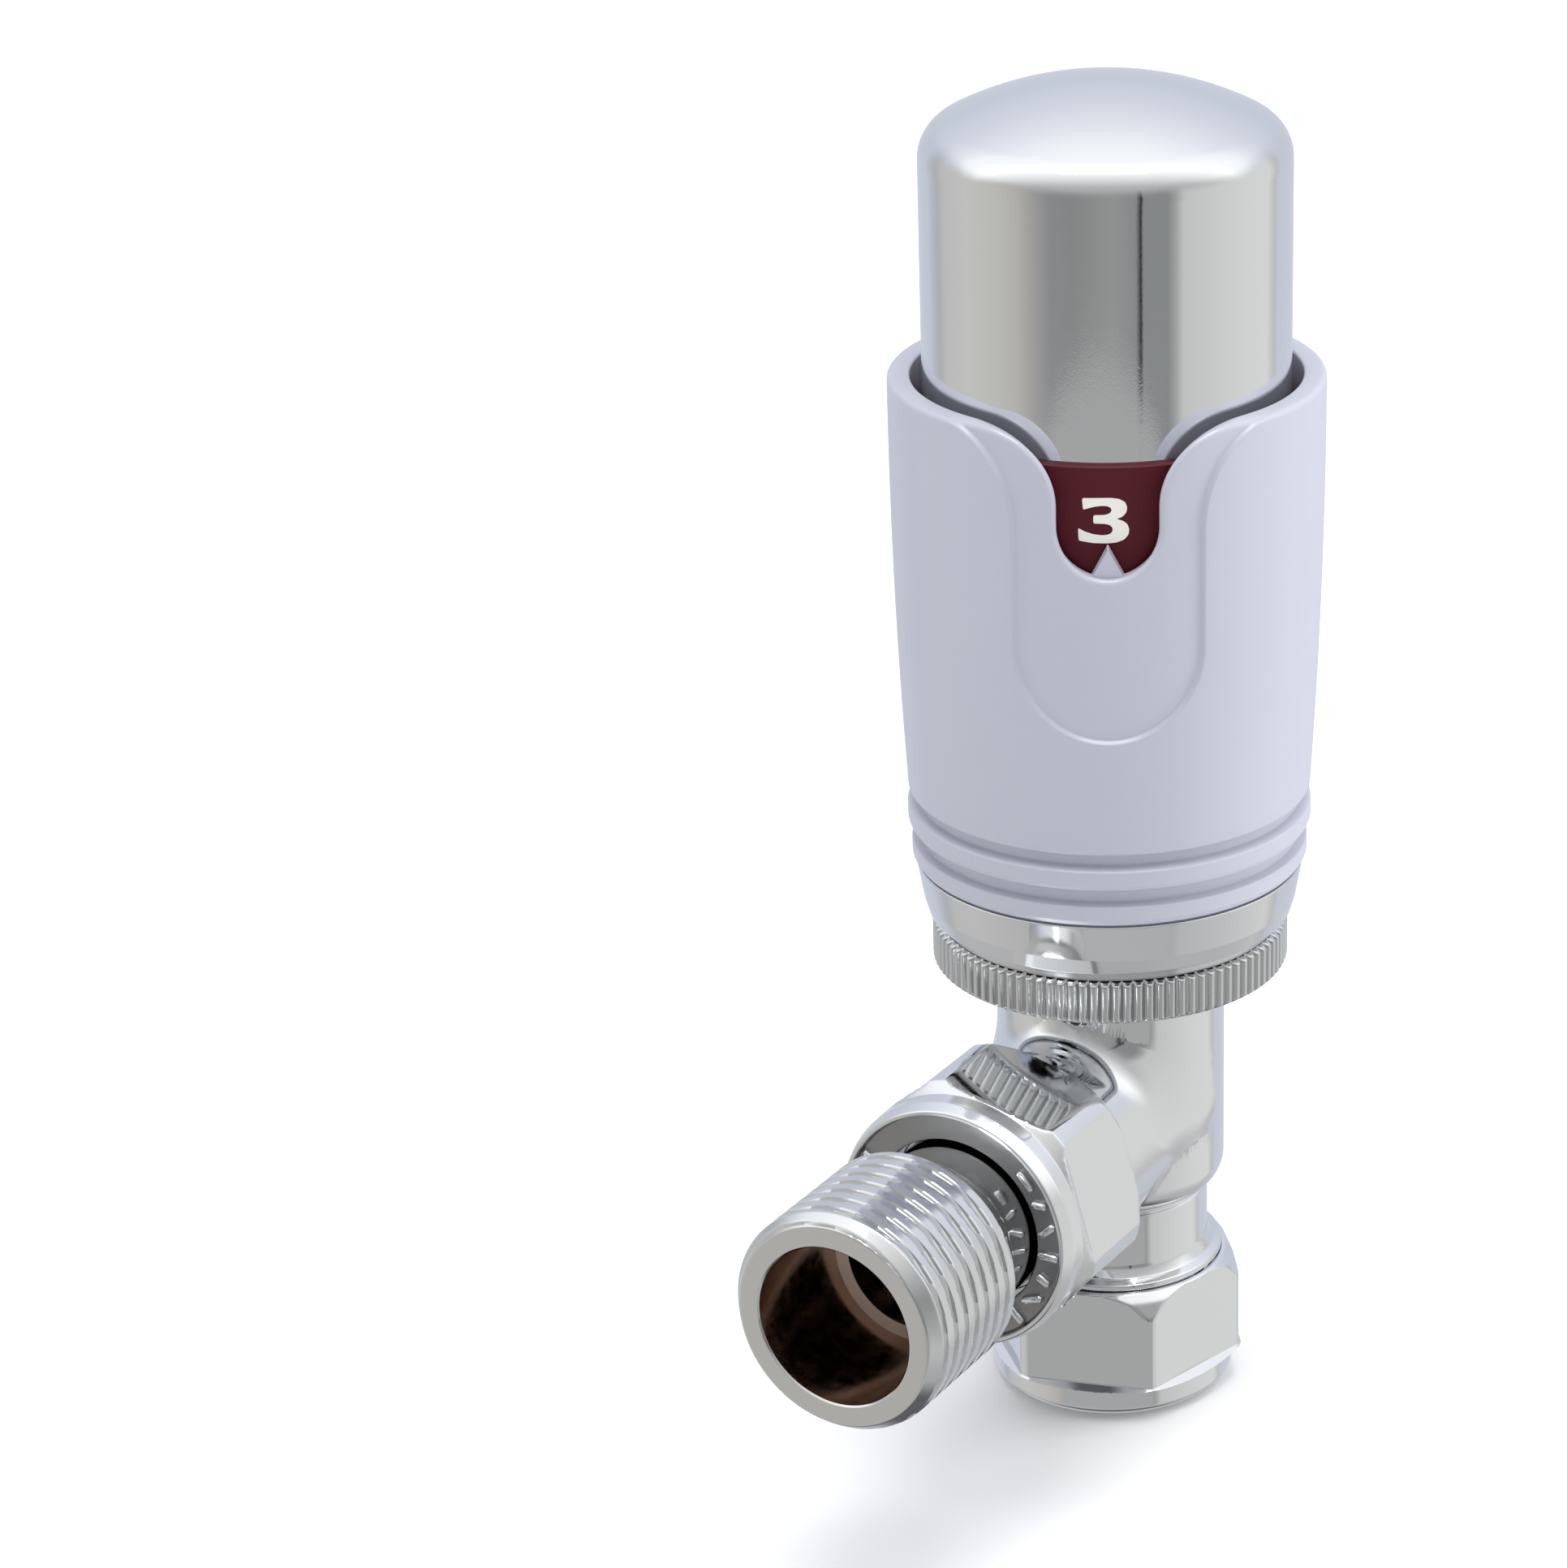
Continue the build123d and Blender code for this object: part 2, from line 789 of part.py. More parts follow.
def drive_sleeve():
    sleeve = turned(
        (drive_bore_r, drive_bottom_z),
        (drive_r, drive_bottom_z),
        (drive_r, drive_top_z),
        (drive_bore_r, drive_top_z),
        (drive_bore_r, drive_lip_top_z),
        (drive_lip_r, drive_lip_top_z),
        (drive_lip_r, drive_lip_bottom_z),
        (drive_bore_r, drive_lip_bottom_z),
    )
    wide = 2 * stop_lug_r * math.sin(math.radians(stop_lug_half_angle))
    root_r = drive_r - stop_lug_overlap
    deep = 2 * (stop_lug_r - root_r)
    lug = Pos(0, stop_lug_r, drive_bottom_z + stop_lug_height / 2) * Box(wide, deep, stop_lug_height)
    lug = lug & tube(stop_lug_r, root_r, drive_bottom_z, drive_bottom_z + stop_lug_height)
    return sleeve + lug


def sleeve_blank(inset=0.0):
    """Barrel-shaped outside of the sleeve; inset moves the surface inwards."""
    bottom = (sleeve_bottom_r - inset, sleeve_bottom_z)
    middle = (sleeve_belly_r - inset, sleeve_belly_z)
    upper = (sleeve_top_r - inset, sleeve_top_z - rim_round)
    side = ThreePointArc(bottom, middle, upper)
    edge = RadiusArc(upper, (sleeve_top_r - inset - rim_round, sleeve_top_z), -rim_round)
    top = Line((sleeve_top_r - inset - rim_round, sleeve_top_z), (0, sleeve_top_z))
    close = Polyline((0, sleeve_top_z), (0, sleeve_bottom_z), bottom)
    return revolve(Plane.XZ * make_face(side + edge + top + close), Axis.Z)


def flared_u(half, round_z, flare_x, flare_z, flare_top_z):
    """Upright U with a round bottom and a mouth that flares outwards, as a bar along -Y."""
    above = sleeve_top_z + beyond
    reach = flare_x - half
    rise = flare_top_z - flare_z
    right = EllipticalCenterArc((flare_x, flare_z), reach, rise, 90, arc_size=90)
    left = EllipticalCenterArc((-flare_x, flare_z), reach, rise, 0, arc_size=90)
    lid = Polyline(left @ 1, (-flare_x, above), (flare_x, above), right @ 0)
    right_side = Line(right @ 1, (half, round_z))
    bottom = ThreePointArc((half, round_z), (0, round_z - half), (-half, round_z))
    left_side = Line((-half, round_z), left @ 0)
    outline = make_face(lid + right + right_side + bottom + left_side + left)
    return extrude(Plane.XZ * outline, sleeve_top_r + beyond)


def panel_shape():
    """Outline of the shallow panel round the window; its mouth runs out over the rim."""
    mouth_z = sleeve_top_z + fine_edge
    return flared_u(panel_half_width, panel_round_z, panel_flare_x, panel_flare_z, mouth_z)


def window_shape():
    """Outline of the scoop in the rim and the dial window below it."""
    return flared_u(window_half_width, window_round_z, scoop_centre_x, scoop_centre_z, sleeve_top_z)


def pointer():
    triangle = Polyline(
        (-pointer_half_width, pointer_base_z),
        (pointer_half_width, pointer_base_z),
        (0, pointer_tip_z),
        close=True,
    )
    bar = extrude(Plane.XZ * make_face(triangle), sleeve_top_r)
    return bar & tube(pointer_r, sleeve_bore_r, pointer_base_z, pointer_tip_z)


def outer_sleeve():
    sleeve = sleeve_blank() - rod(sleeve_bore_r, sleeve_bottom_z, sleeve_top_z)
    skin = sleeve_blank() - sleeve_blank(panel_depth)
    sleeve = sleeve - (skin & panel_shape())
    sleeve = sleeve - window_shape()
    return sleeve + pointer()


# ---------------------------------------------------------------- writing the parts
NODES = {
    "valve_body": valve_body,
    "compression_nut": compression_nut,
    "olive": olive,
    "union_nut": union_nut,
    "tailpiece": tailpiece,
    "tail_seal": tail_seal,
    "valve_insert": valve_insert,
    "insert_seal": insert_seal,
    "gland_nut": gland_nut,
    "gland_seal": gland_seal,
    "pressure_pin": pressure_pin,
    "spindle": spindle,
    "spring_clip": spring_clip,
    "return_spring": return_spring,
    "disc_holder": disc_holder,
    "seat_washer": seat_washer,
    "washer_screw": washer_screw,
    "head_nut": head_nut,
    "chrome_collar": chrome_collar,
    "base_collar": base_collar,
    "sensor_frame": sensor_frame,
    "retaining_ring": retaining_ring,
    "limit_pins": limit_pins,
    "sensor_carrier": sensor_carrier,
    "thermostat_sensor": thermostat_sensor,
    "sensor_plunger": sensor_plunger,
    "overtravel_spring": overtravel_spring,
    "carrier_cap": carrier_cap,
    "chrome_cap": chrome_cap,
    "scale_ring": scale_ring,
    "drive_sleeve": drive_sleeve,
    "outer_sleeve": outer_sleeve,
}

os.makedirs("parts", exist_ok=True)
for node, make in NODES.items():
    export_step(make(), "parts/" + node + ".step")
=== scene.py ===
import math

import bmesh
import bpy
import numpy as np
from mathutils import Matrix, Vector
from mathutils.geometry import delaunay_2d_cdt


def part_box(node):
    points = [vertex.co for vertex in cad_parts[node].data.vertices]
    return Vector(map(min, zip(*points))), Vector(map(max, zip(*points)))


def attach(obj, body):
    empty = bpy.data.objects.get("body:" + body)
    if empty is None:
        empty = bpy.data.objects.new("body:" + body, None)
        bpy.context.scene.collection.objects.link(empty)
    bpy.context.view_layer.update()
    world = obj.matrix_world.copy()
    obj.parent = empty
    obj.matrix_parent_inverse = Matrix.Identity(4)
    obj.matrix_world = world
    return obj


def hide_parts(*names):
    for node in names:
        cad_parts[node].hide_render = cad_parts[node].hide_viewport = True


# Thermostatic radiator valve. Shapes are worked out in millimetres in the row frame
# and written to the meshes in metres.

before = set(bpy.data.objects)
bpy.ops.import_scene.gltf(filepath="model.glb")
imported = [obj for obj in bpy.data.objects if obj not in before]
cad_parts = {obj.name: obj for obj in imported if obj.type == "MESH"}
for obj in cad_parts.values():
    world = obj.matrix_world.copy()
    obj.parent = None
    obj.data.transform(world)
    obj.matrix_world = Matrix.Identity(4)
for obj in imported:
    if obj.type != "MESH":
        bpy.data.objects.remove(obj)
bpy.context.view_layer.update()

MM = 0.001
TAIL_TURN = math.radians(28.0)
TAIL_AXIS = Vector((-math.sin(TAIL_TURN), -math.cos(TAIL_TURN), 0.0))
TAIL_SIDE = Vector((math.cos(TAIL_TURN), -math.sin(TAIL_TURN), 0.0))


def heights(node):
    """Lowest and highest Z of a CAD node, in millimetres."""
    low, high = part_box(node)
    return low.z / MM, high.z / MM


def reach(node):
    """Nearest and farthest point of a CAD node along the tail's axis, in millimetres."""
    along = [v.co.dot(TAIL_AXIS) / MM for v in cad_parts[node].data.vertices]
    return min(along), max(along)


low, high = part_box("tailpiece")
BRANCH_Z = (low.z + high.z) / 2 / MM
UPRIGHT = Matrix.Identity(4)
ALONG_TAIL = Matrix((
    (TAIL_SIDE.x, 0.0, TAIL_AXIS.x, 0.0),
    (TAIL_SIDE.y, 0.0, TAIL_AXIS.y, 0.0),
    (TAIL_SIDE.z, 1.0, TAIL_AXIS.z, BRANCH_Z),
    (0.0, 0.0, 0.0, 1.0),
))


# ---------------------------------------------------------------- mesh helpers
def new_object(name, vertices, faces, place=UPRIGHT):
    """Mesh object from points in millimetres, moved by a placement, with smooth shading."""
    spot = np.asarray(vertices, float)
    turn = np.array(place)[:3, :3]
    shift = np.array(place)[:3, 3]
    spot = (spot @ turn.T + shift) * MM
    mesh = bpy.data.meshes.new(name)
    mesh.from_pydata(spot.tolist(), [], faces)
    body = bmesh.new()
    body.from_mesh(mesh)
    bmesh.ops.remove_doubles(body, verts=body.verts, dist=2e-7)
    bmesh.ops.recalc_face_normals(body, faces=body.faces)
    body.to_mesh(mesh)
    body.free()
    mesh.shade_smooth()
    piece = bpy.data.objects.new(name, mesh)
    bpy.context.scene.collection.objects.link(piece)
    return piece


def even_shading(piece, sharp=50.0):
    """Large faces keep flat shading beside small rounded edges."""
    piece.data.set_sharp_from_angle(angle=math.radians(sharp))
    weighted = piece.modifiers.new("even shading", "WEIGHTED_NORMAL")
    weighted.weight = 80
    weighted.keep_sharp = True


def rounded(corners, step=12.0):
    """Closed outline from (radius, height, rounding) corners."""
    outline = []
    count = len(corners)
    for k in range(count):
        before = np.array(corners[k - 1][:2], float)
        here = np.array(corners[k][:2], float)
        after = np.array(corners[(k + 1) % count][:2], float)
        size = corners[k][2] if len(corners[k]) > 2 else 0.0
        into = before - here
        out = after - here
        into_length = np.linalg.norm(into)
        out_length = np.linalg.norm(out)
        into = into / into_length
        out = out / out_length
        opening = math.acos(max(-1.0, min(1.0, float(into @ out))))
        if size <= 0 or opening > math.pi - 0.03:
            outline.append(tuple(here))
            continue
        cut = size / math.tan(opening / 2)
        cut = min(cut, 0.48 * into_length, 0.48 * out_length)
        size = cut * math.tan(opening / 2)
        middle = into + out
        centre = here + middle / np.linalg.norm(middle) * size / math.sin(opening / 2)
        start = here + into * cut - centre
        sweep = math.pi - opening
        side = 1.0 if into[0] * out[1] - into[1] * out[0] < 0 else -1.0
        steps = max(2, int(math.degrees(sweep) / step) + 1)
        for j in range(steps + 1):
            angle = side * sweep * j / steps
            turned = (
                start[0] * math.cos(angle) - start[1] * math.sin(angle),
                start[0] * math.sin(angle) + start[1] * math.cos(angle),
            )
            outline.append((centre[0] + turned[0], centre[1] + turned[1]))
    return outline


def divided(outline, longest):
    """The same closed outline with no edge longer than a limit."""
    out = []
    for k, here in enumerate(outline):
        after = outline[(k + 1) % len(outline)]
        gap = math.dist(here, after)
        parts = max(1, math.ceil(gap / longest))
        for j in range(parts):
            t = j / parts
            out.append((here[0] + (after[0] - here[0]) * t, here[1] + (after[1] - here[1]) * t))
    return out


def lathe(name, outline, sides=192, shape=None, place=UPRIGHT):
    """Closed outline of (radius, height) turned about the axis; shape may change the radius."""
    points = np.array(outline, float)
    turn = np.linspace(0, 2 * math.pi, sides, endpoint=False)[:, None]
    radius = np.repeat(points[None, :, 0], sides, axis=0)
    height = np.repeat(points[None, :, 1], sides, axis=0)
    if shape:
        radius = shape(turn, radius, height)
    spots = np.stack((radius * np.cos(turn), radius * np.sin(turn), height), axis=-1)
    count = len(points)
    faces = []
    for i in range(sides):
        j = (i + 1) % sides
        for k in range(count):
            m = (k + 1) % count
            faces.append((i * count + k, j * count + k, j * count + m, i * count + m))
    return new_object(name, spots.reshape(-1, 3), faces, place)


def smooth_min(a, b, soft):
    """Smaller of two values, with a rounded changeover."""
    blend = np.clip(0.5 + 0.5 * (b - a) / soft, 0, 1)
    return b * (1 - blend) + a * blend - soft * blend * (1 - blend)


def flats(turn, apothem, first, soft=0.1):
    """Radius of a six-sided outline whose first flat faces an angle, with rounded corners."""
    sixth = math.pi / 3
    off = np.abs((turn - first + sixth / 2) % sixth - sixth / 2)
    return smooth_min(apothem / np.cos(off), apothem / np.cos(sixth - off), soft)


def inside(points, loops):
    """Which points lie inside closed loops, by the even-odd rule."""
    hit = np.zeros(len(points), bool)
    x, y = points[:, 0], points[:, 1]
    for loop in loops:
        a = np.asarray(loop, float)
        b = np.roll(a, -1, axis=0)
        for (x0, y0), (x1, y1) in zip(a, b):
            if y0 == y1:
                continue
            crosses = (y0 > y) != (y1 > y)
            hit ^= crosses & (x < (x1 - x0) * (y - y0) / (y1 - y0) + x0)
    return hit


def distance(points, path):
    """Distance from each point to an open path."""
    path = np.asarray(path, float)
    best = np.full(len(points), 1e9)
    for a, b in zip(path[:-1], path[1:]):
        line = b - a
        length = line @ line
        if length == 0:
            continue
        t = np.clip(((points - a) @ line) / length, 0, 1)
        gap = points - (a + t[:, None] * line)
        best = np.minimum(best, np.einsum("ij,ij->i", gap, gap))
    return np.sqrt(best)


def filled(loops, extra, lines=()):
    """Triangles over closed loops, with extra points and lines as mesh edges."""
    spots = []
    edges = []
    for loop in loops:
        first = len(spots)
        spots += [tuple(p) for p in loop]
        edges += [(first + k, first + (k + 1) % len(loop)) for k in range(len(loop))]
    for line in lines:
        first = len(spots)
        spots += [tuple(p) for p in line]
        edges += [(first + k, first + k + 1) for k in range(len(line) - 1)]
    spots += [tuple(p) for p in extra]
    made = delaunay_2d_cdt([Vector(p) for p in spots], edges, [], 0, 1e-5)
    flat = np.array([tuple(v) for v in made[0]])
    triangles = np.array([tuple(f) for f in made[2]])
    keep = inside(flat[triangles].mean(axis=1), loops)
    return flat, triangles[keep]


def plate(name, flat, triangles, top, bottom, open_edge=None, place=UPRIGHT):
    """Solid between two mapped copies of one flat mesh, walled along its border."""
    upper = top(flat)
    lower = bottom(flat)
    count = len(flat)
    used = {}
    for face in triangles.tolist():
        for k in range(3):
            edge = (face[k], face[(k + 1) % 3])
            if (edge[1], edge[0]) in used:
                del used[(edge[1], edge[0])]
            else:
                used[edge] = True
    faces = [tuple(f) for f in triangles.tolist()]
    faces += [(c + count, b + count, a + count) for a, b, c in triangles.tolist()]
    for a, b in used:
        if open_edge is not None and open_edge(flat[a]) and open_edge(flat[b]):
            continue
        faces.append((b, a, a + count, b + count))
    return new_object(name, np.vstack((upper, lower)), faces, place)


def around_axis(radius, turn, height):
    """Points at a radius and an angle from the front."""
    return np.stack((radius * np.sin(turn), -radius * np.cos(turn), height), axis=1)


def combine(first, second, operation):
    """Boolean of two closed meshes, applied to the first."""
    cut = first.modifiers.new("cut", "BOOLEAN")
    cut.operation = operation
    cut.object = second
    cut.solver = "EXACT"
    graph = bpy.context.evaluated_depsgraph_get()
    mesh = bpy.data.meshes.new_from_object(first.evaluated_get(graph))
    first.modifiers.clear()
    first.data = mesh
    bpy.data.objects.remove(second)
    return first


# ---------------------------------------------------------------- materials
def colour(*srgb):
    """Linear colour with alpha from 0-255 display values."""
    linear = [((c / 255 + 0.055) / 1.055) ** 2.4 if c > 10.3 else c / 255 / 12.92 for c in srgb]
    return (*linear, 1.0)


class Shader:
    """One principled material and short calls that add nodes to it."""

    def __init__(self, name, base, metallic=0.0, roughness=0.4, **values):
        self.material = bpy.data.materials.new(name)
        self.material.use_nodes = True
        self.nodes = self.material.node_tree.nodes
        self.links = self.material.node_tree.links
        self.shader = self.nodes["Principled BSDF"]
        self.shader.inputs["Base Color"].default_value = base
        self.shader.inputs["Metallic"].default_value = metallic
        self.shader.inputs["Roughness"].default_value = roughness
        for key, value in values.items():
            self.shader.inputs[key.replace("_", " ")].default_value = value
        self.where = self.nodes.new("ShaderNodeTexCoord").outputs["Object"]
        self.normal = None

    def noise(self, scale, detail):
        noise = self.nodes.new("ShaderNodeTexNoise")
        noise.inputs["Scale"].default_value = scale
        noise.inputs["Detail"].default_value = detail
        self.links.new(self.where, noise.inputs["Vector"])
        return noise.outputs["Fac"]

    def ranged(self, value, low, high, start=0.3, end=0.7):
        scale = self.nodes.new("ShaderNodeMapRange")
        scale.inputs["From Min"].default_value = start
        scale.inputs["From Max"].default_value = end
        scale.inputs["To Min"].default_value = low
        scale.inputs["To Max"].default_value = high
        self.links.new(value, scale.inputs["Value"])
        return scale.outputs["Result"]

    def roughness(self, value, low, high, start=0.3, end=0.7):
        self.links.new(self.ranged(value, low, high, start, end), self.shader.inputs["Roughness"])

    def tint(self, value, first, second, start=0.35, end=0.65):
        ramp = self.nodes.new("ShaderNodeValToRGB")
        ramp.color_ramp.elements[0].position = start
        ramp.color_ramp.elements[0].color = first
        ramp.color_ramp.elements[1].position = end
        ramp.color_ramp.elements[1].color = second
        self.links.new(value, ramp.inputs["Fac"])
        self.links.new(ramp.outputs["Color"], self.shader.inputs["Base Color"])

    def bump(self, value, strength, depth):
        bump = self.nodes.new("ShaderNodeBump")
        bump.inputs["Strength"].default_value = strength
        bump.inputs["Distance"].default_value = depth
        self.links.new(value, bump.inputs["Height"])
        if self.normal:
            self.links.new(self.normal, bump.inputs["Normal"])
        self.normal = bump.outputs["Normal"]
        self.links.new(self.normal, self.shader.inputs["Normal"])


WAVE_SCALE = 95.0
FINE_SCALE = 5200.0
HAZE_SCALE = 900.0


def chrome(name, wave, base=(0.80, 0.81, 0.825, 1.0), low=0.03, high=0.07):
    """Bright plating: faint polishing haze, and the slow waves left by the metal under it."""
    made = Shader(name, base, metallic=1.0)
    made.roughness(made.noise(HAZE_SCALE, 4.0), low, high)
    if wave:
        made.bump(made.noise(WAVE_SCALE, 1.5), 0.35, wave)
    made.bump(made.noise(FINE_SCALE, 2.0), 0.05, 0.00002)
    return made.material


def plain_metal(name, base, dark, low, high, scale=800.0, metallic=1.0):
    """Machined metal: darker patches and a fine uneven grain."""
    made = Shader(name, base, metallic=metallic)
    made.tint(made.noise(scale / 8, 4.0), dark, base)
    made.roughness(made.noise(scale, 5.0), low, high)
    made.bump(made.noise(scale * 2, 3.0), 0.12, 0.00003)
    return made.material


def moulded(name, base, second, low, high, **values):
    """Moulded plastic: faint colour drift and a slow change in the gloss."""
    made = Shader(name, base, **values)
    made.tint(made.noise(70.0, 2.0), base, second, 0.0, 1.0)
    made.roughness(made.noise(45.0, 2.0), low, high, 0.0, 1.0)
    return made.material


CAP_CHROME = chrome("cap_chrome", 0.0, low=0.03, high=0.06)
FITTING_CHROME = chrome("fitting_chrome", 0.00022, low=0.04, high=0.08)
NUT_CHROME = chrome("nut_chrome", 0.00016, low=0.04, high=0.09)
KNURL_CHROME = chrome("knurl_chrome", 0.00005, base=(0.66, 0.67, 0.675, 1.0), low=0.08, high=0.15)
THREAD_CHROME = chrome("thread_chrome", 0.0, base=(0.72, 0.73, 0.74, 1.0), low=0.06, high=0.12)
WHITE = moulded(
    "white_plastic", colour(185, 186, 199), colour(182, 184, 197), 0.28, 0.33,
    Coat_Weight=0.25, Coat_Roughness=0.15,
)
MAROON = moulded(
    "maroon_plastic", colour(84, 12, 28), colour(78, 10, 25), 0.38, 0.5, Specular_IOR_Level=0.25
)
FIGURE = moulded("dial_figures", colour(238, 236, 228), colour(230, 229, 221), 0.45, 0.6)
# Recessed face of the union nut: rougher cast finish, and a darker base colour that is painted shade in the
# recess.
SHADED_CAST_RECESS = chrome("cast_recess_painted_shade", 0.00012, base=(0.34, 0.34, 0.345, 1.0), low=0.28, high=0.42)
BORE = plain_metal("bore_metal", (0.56, 0.42, 0.34, 1.0), (0.30, 0.21, 0.17, 1.0), 0.12, 0.26)
# Step ring in the tail's bore: a pale non-metal colour that is painted light, standing in for light caught
# on the brass step.
STEP_PAINTED_LIGHT = plain_metal(
    "step_painted_light", colour(245, 226, 212), colour(226, 204, 190), 0.4, 0.55, metallic=0.0
)
BRASS = plain_metal("machined_brass", (0.60, 0.42, 0.20, 1.0), (0.50, 0.34, 0.15, 1.0), 0.22, 0.4)
STEEL = plain_metal("turned_steel", (0.52, 0.53, 0.55, 1.0), (0.42, 0.43, 0.45, 1.0), 0.2, 0.38)
SPRING = plain_metal("spring_wire", (0.40, 0.41, 0.43, 1.0), (0.30, 0.31, 0.33, 1.0), 0.25, 0.42)
CASE = plain_metal("sensor_case", (0.64, 0.65, 0.66, 1.0), (0.56, 0.57, 0.58, 1.0), 0.25, 0.4)
RUBBER = moulded("black_rubber", colour(24, 24, 25), colour(34, 33, 33), 0.5, 0.75)
FIBRE = moulded("fibre_washer", colour(84, 66, 54), colour(70, 56, 47), 0.6, 0.85)
INNER = moulded("inner_plastic", colour(214, 212, 204), colour(205, 203, 196), 0.4, 0.55)


def dress(piece, *materials):
    """Materials of a piece; a new mesh has none yet, and keeps its face numbers."""
    if len(piece.data.materials):
        piece.data.materials.clear()
    for material in materials:
        piece.data.materials.append(material)


def finish(piece, body, node, slot, *materials):
    """Material, body and replaced node of one visible piece; the slot is not used."""
    dress(piece, *materials)
    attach(piece, body)
    if node:
        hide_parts(node)
    return piece


# ---------------------------------------------------------------- cap and dial ring
cap_bottom, cap_top = heights("chrome_cap")
CAP_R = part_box("chrome_cap")[1].x / MM
CROWN_R = 31.5
SHOULDER_R = 3.9
CAP_WALL = 1.2


def dome_path(radius, crown, shoulder, top):
    """Crown and shoulder as (radius, height) points from the axis outwards."""
    crown_z = top - crown
    shoulder_x = radius - shoulder
    shoulder_z = crown_z + math.sqrt((crown - shoulder) ** 2 - shoulder_x ** 2)
    lean = math.atan2(shoulder_x, shoulder_z - crown_z)
    path = []
    for k in range(33):
        a = lean * k / 32
        path.append((crown * math.sin(a), crown_z + crown * math.cos(a)))
    for k in range(1, 29):
        a = lean + (math.pi / 2 - lean) * k / 28
        path.append((shoulder_x + shoulder * math.sin(a), shoulder_z + shoulder * math.cos(a)))
    return path


def make_cap():
    outer = dome_path(CAP_R, CROWN_R, SHOULDER_R, cap_top)
    inner = dome_path(
        CAP_R - CAP_WALL, CROWN_R - CAP_WALL, SHOULDER_R - CAP_WALL, cap_top - CAP_WALL
    )
    foot = [(CAP_R, cap_bottom + 0.2), (CAP_R - 0.2, cap_bottom)]
    foot += [(CAP_R - CAP_WALL + 0.2, cap_bottom), (CAP_R - CAP_WALL, cap_bottom + 0.2)]
    piece = lathe("domed_cap", divided(outer + foot + inner[::-1], 1.5), 256)
    even_shading(piece)
    return piece


def make_scale():
    low, high = heights("scale_ring")
    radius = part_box("scale_ring")[1].x / MM
    outline = rounded([
        (CAP_R + 0.01, low), (radius, low, 0.1), (radius, high, 0.18), (CAP_R + 0.01, high),
    ])
    piece = lathe("dial_ring", divided(outline, 1.5), 256)
    even_shading(piece)
    return piece


finish(make_cap(), "handwheel", "chrome_cap", "chrome_cap", CAP_CHROME)
finish(make_scale(), "handwheel", "scale_ring", "scale_plastic", MAROON)


# ---------------------------------------------------------------- dial figures
def stroke(points, width):
    """Closed outline of a line drawn with a flat pen of even width."""
    path = np.array(points, float)
    way = np.gradient(path, axis=0)
    way /= np.linalg.norm(way, axis=1)[:, None]
    across = np.stack((-way[:, 1], way[:, 0]), axis=1) * width / 2
    return np.vstack((path + across, (path - across)[::-1]))


THREE = [
    (-1.93, 2.05), (0.55, 2.1), (1.35, 1.98), (1.85, 1.68), (2.02, 1.22), (1.95, 0.76), (1.62, 0.36),
    (1.05, 0.14), (1.62, -0.02), (2.02, -0.34), (2.2, -0.84), (2.1, -1.36), (1.72, -1.78), (1.05, -2.03),
    (0.2, -2.1), (-1.0, -2.07), (-2.25, -1.88), (-2.3, -0.72), (-1.75, -1.02), (-1.0, -1.26), (-0.2, -1.36),
    (0.35, -1.3), (0.66, -1.12), (0.76, -0.82), (0.66, -0.54), (0.4, -0.36), (0.0, -0.28), (-0.95, -0.26),
    (-0.95, 0.5), (0.0, 0.52), (0.4, 0.62), (0.6, 0.8), (0.65, 1.02), (0.55, 1.22), (0.25, 1.36),
    (-0.25, 1.38), (-1.0, 1.26), (-1.85, 0.98),
]
ONE = [
    (-1.35, -2.1), (1.5, -2.1), (1.5, -1.4), (0.78, -1.4), (0.78, 2.1), (-0.2, 2.1), (-0.45, 1.7),
    (-0.95, 1.5), (-1.35, 1.45), (-1.35, 0.85), (-0.55, 0.85), (-0.55, -1.4), (-1.35, -1.4),
]
TWO = [
    (-2.05, -2.1), (2.1, -2.1), (2.1, -1.3), (-0.15, -1.3), (0.7, -0.72), (1.5, -0.1), (1.9, 0.5),
    (1.95, 1.05), (1.75, 1.55), (1.3, 1.9), (0.5, 2.1), (-0.5, 2.1), (-1.8, 1.85), (-1.8, 0.9),
    (-1.1, 1.2), (-0.45, 1.32), (0.15, 1.3), (0.5, 1.1), (0.55, 0.75), (0.3, 0.35), (-0.4, -0.25),
    (-1.4, -0.95), (-2.05, -1.4),
]
FOUR = [
    (0.35, -2.1), (1.65, -2.1), (1.65, -1.2), (2.3, -1.2), (2.3, -0.45), (1.65, -0.45), (1.65, 2.1),
    (0.3, 2.1), (-2.2, -0.5), (-2.2, -1.2), (0.35, -1.2),
]
FOUR_HOLE = [(0.35, -0.45), (-1.05, -0.45), (0.35, 1.05)]
FIVE = [
    (-1.75, 2.1), (1.7, 2.1), (1.7, 1.35), (-0.6, 1.35), (-0.65, 0.72), (0.2, 0.78), (1.1, 0.62),
    (1.75, 0.2), (2.0, -0.45), (1.85, -1.15), (1.35, -1.7), (0.5, -2.03), (-0.4, -2.1), (-1.95, -1.9),
    (-1.95, -0.98), (-1.1, -1.3), (-0.3, -1.4), (0.35, -1.25), (0.65, -0.9), (0.7, -0.5), (0.5, -0.15),
    (0.0, 0.02), (-0.7, 0.0), (-1.75, -0.15),
]


def softened(loop, rounds=2):
    """Corner-cut copy of a closed loop that keeps long straight edges."""
    points = np.array(loop, float)
    for _ in range(rounds):
        after = np.roll(points, -1, axis=0)
        gap = np.linalg.norm(after - points, axis=1)[:, None]
        cut = np.minimum(0.25, 0.09 / gap)
        points = np.stack((points + (after - points) * cut, after + (points - after) * cut), axis=1)
        points = points.reshape(-1, 2)
    return points


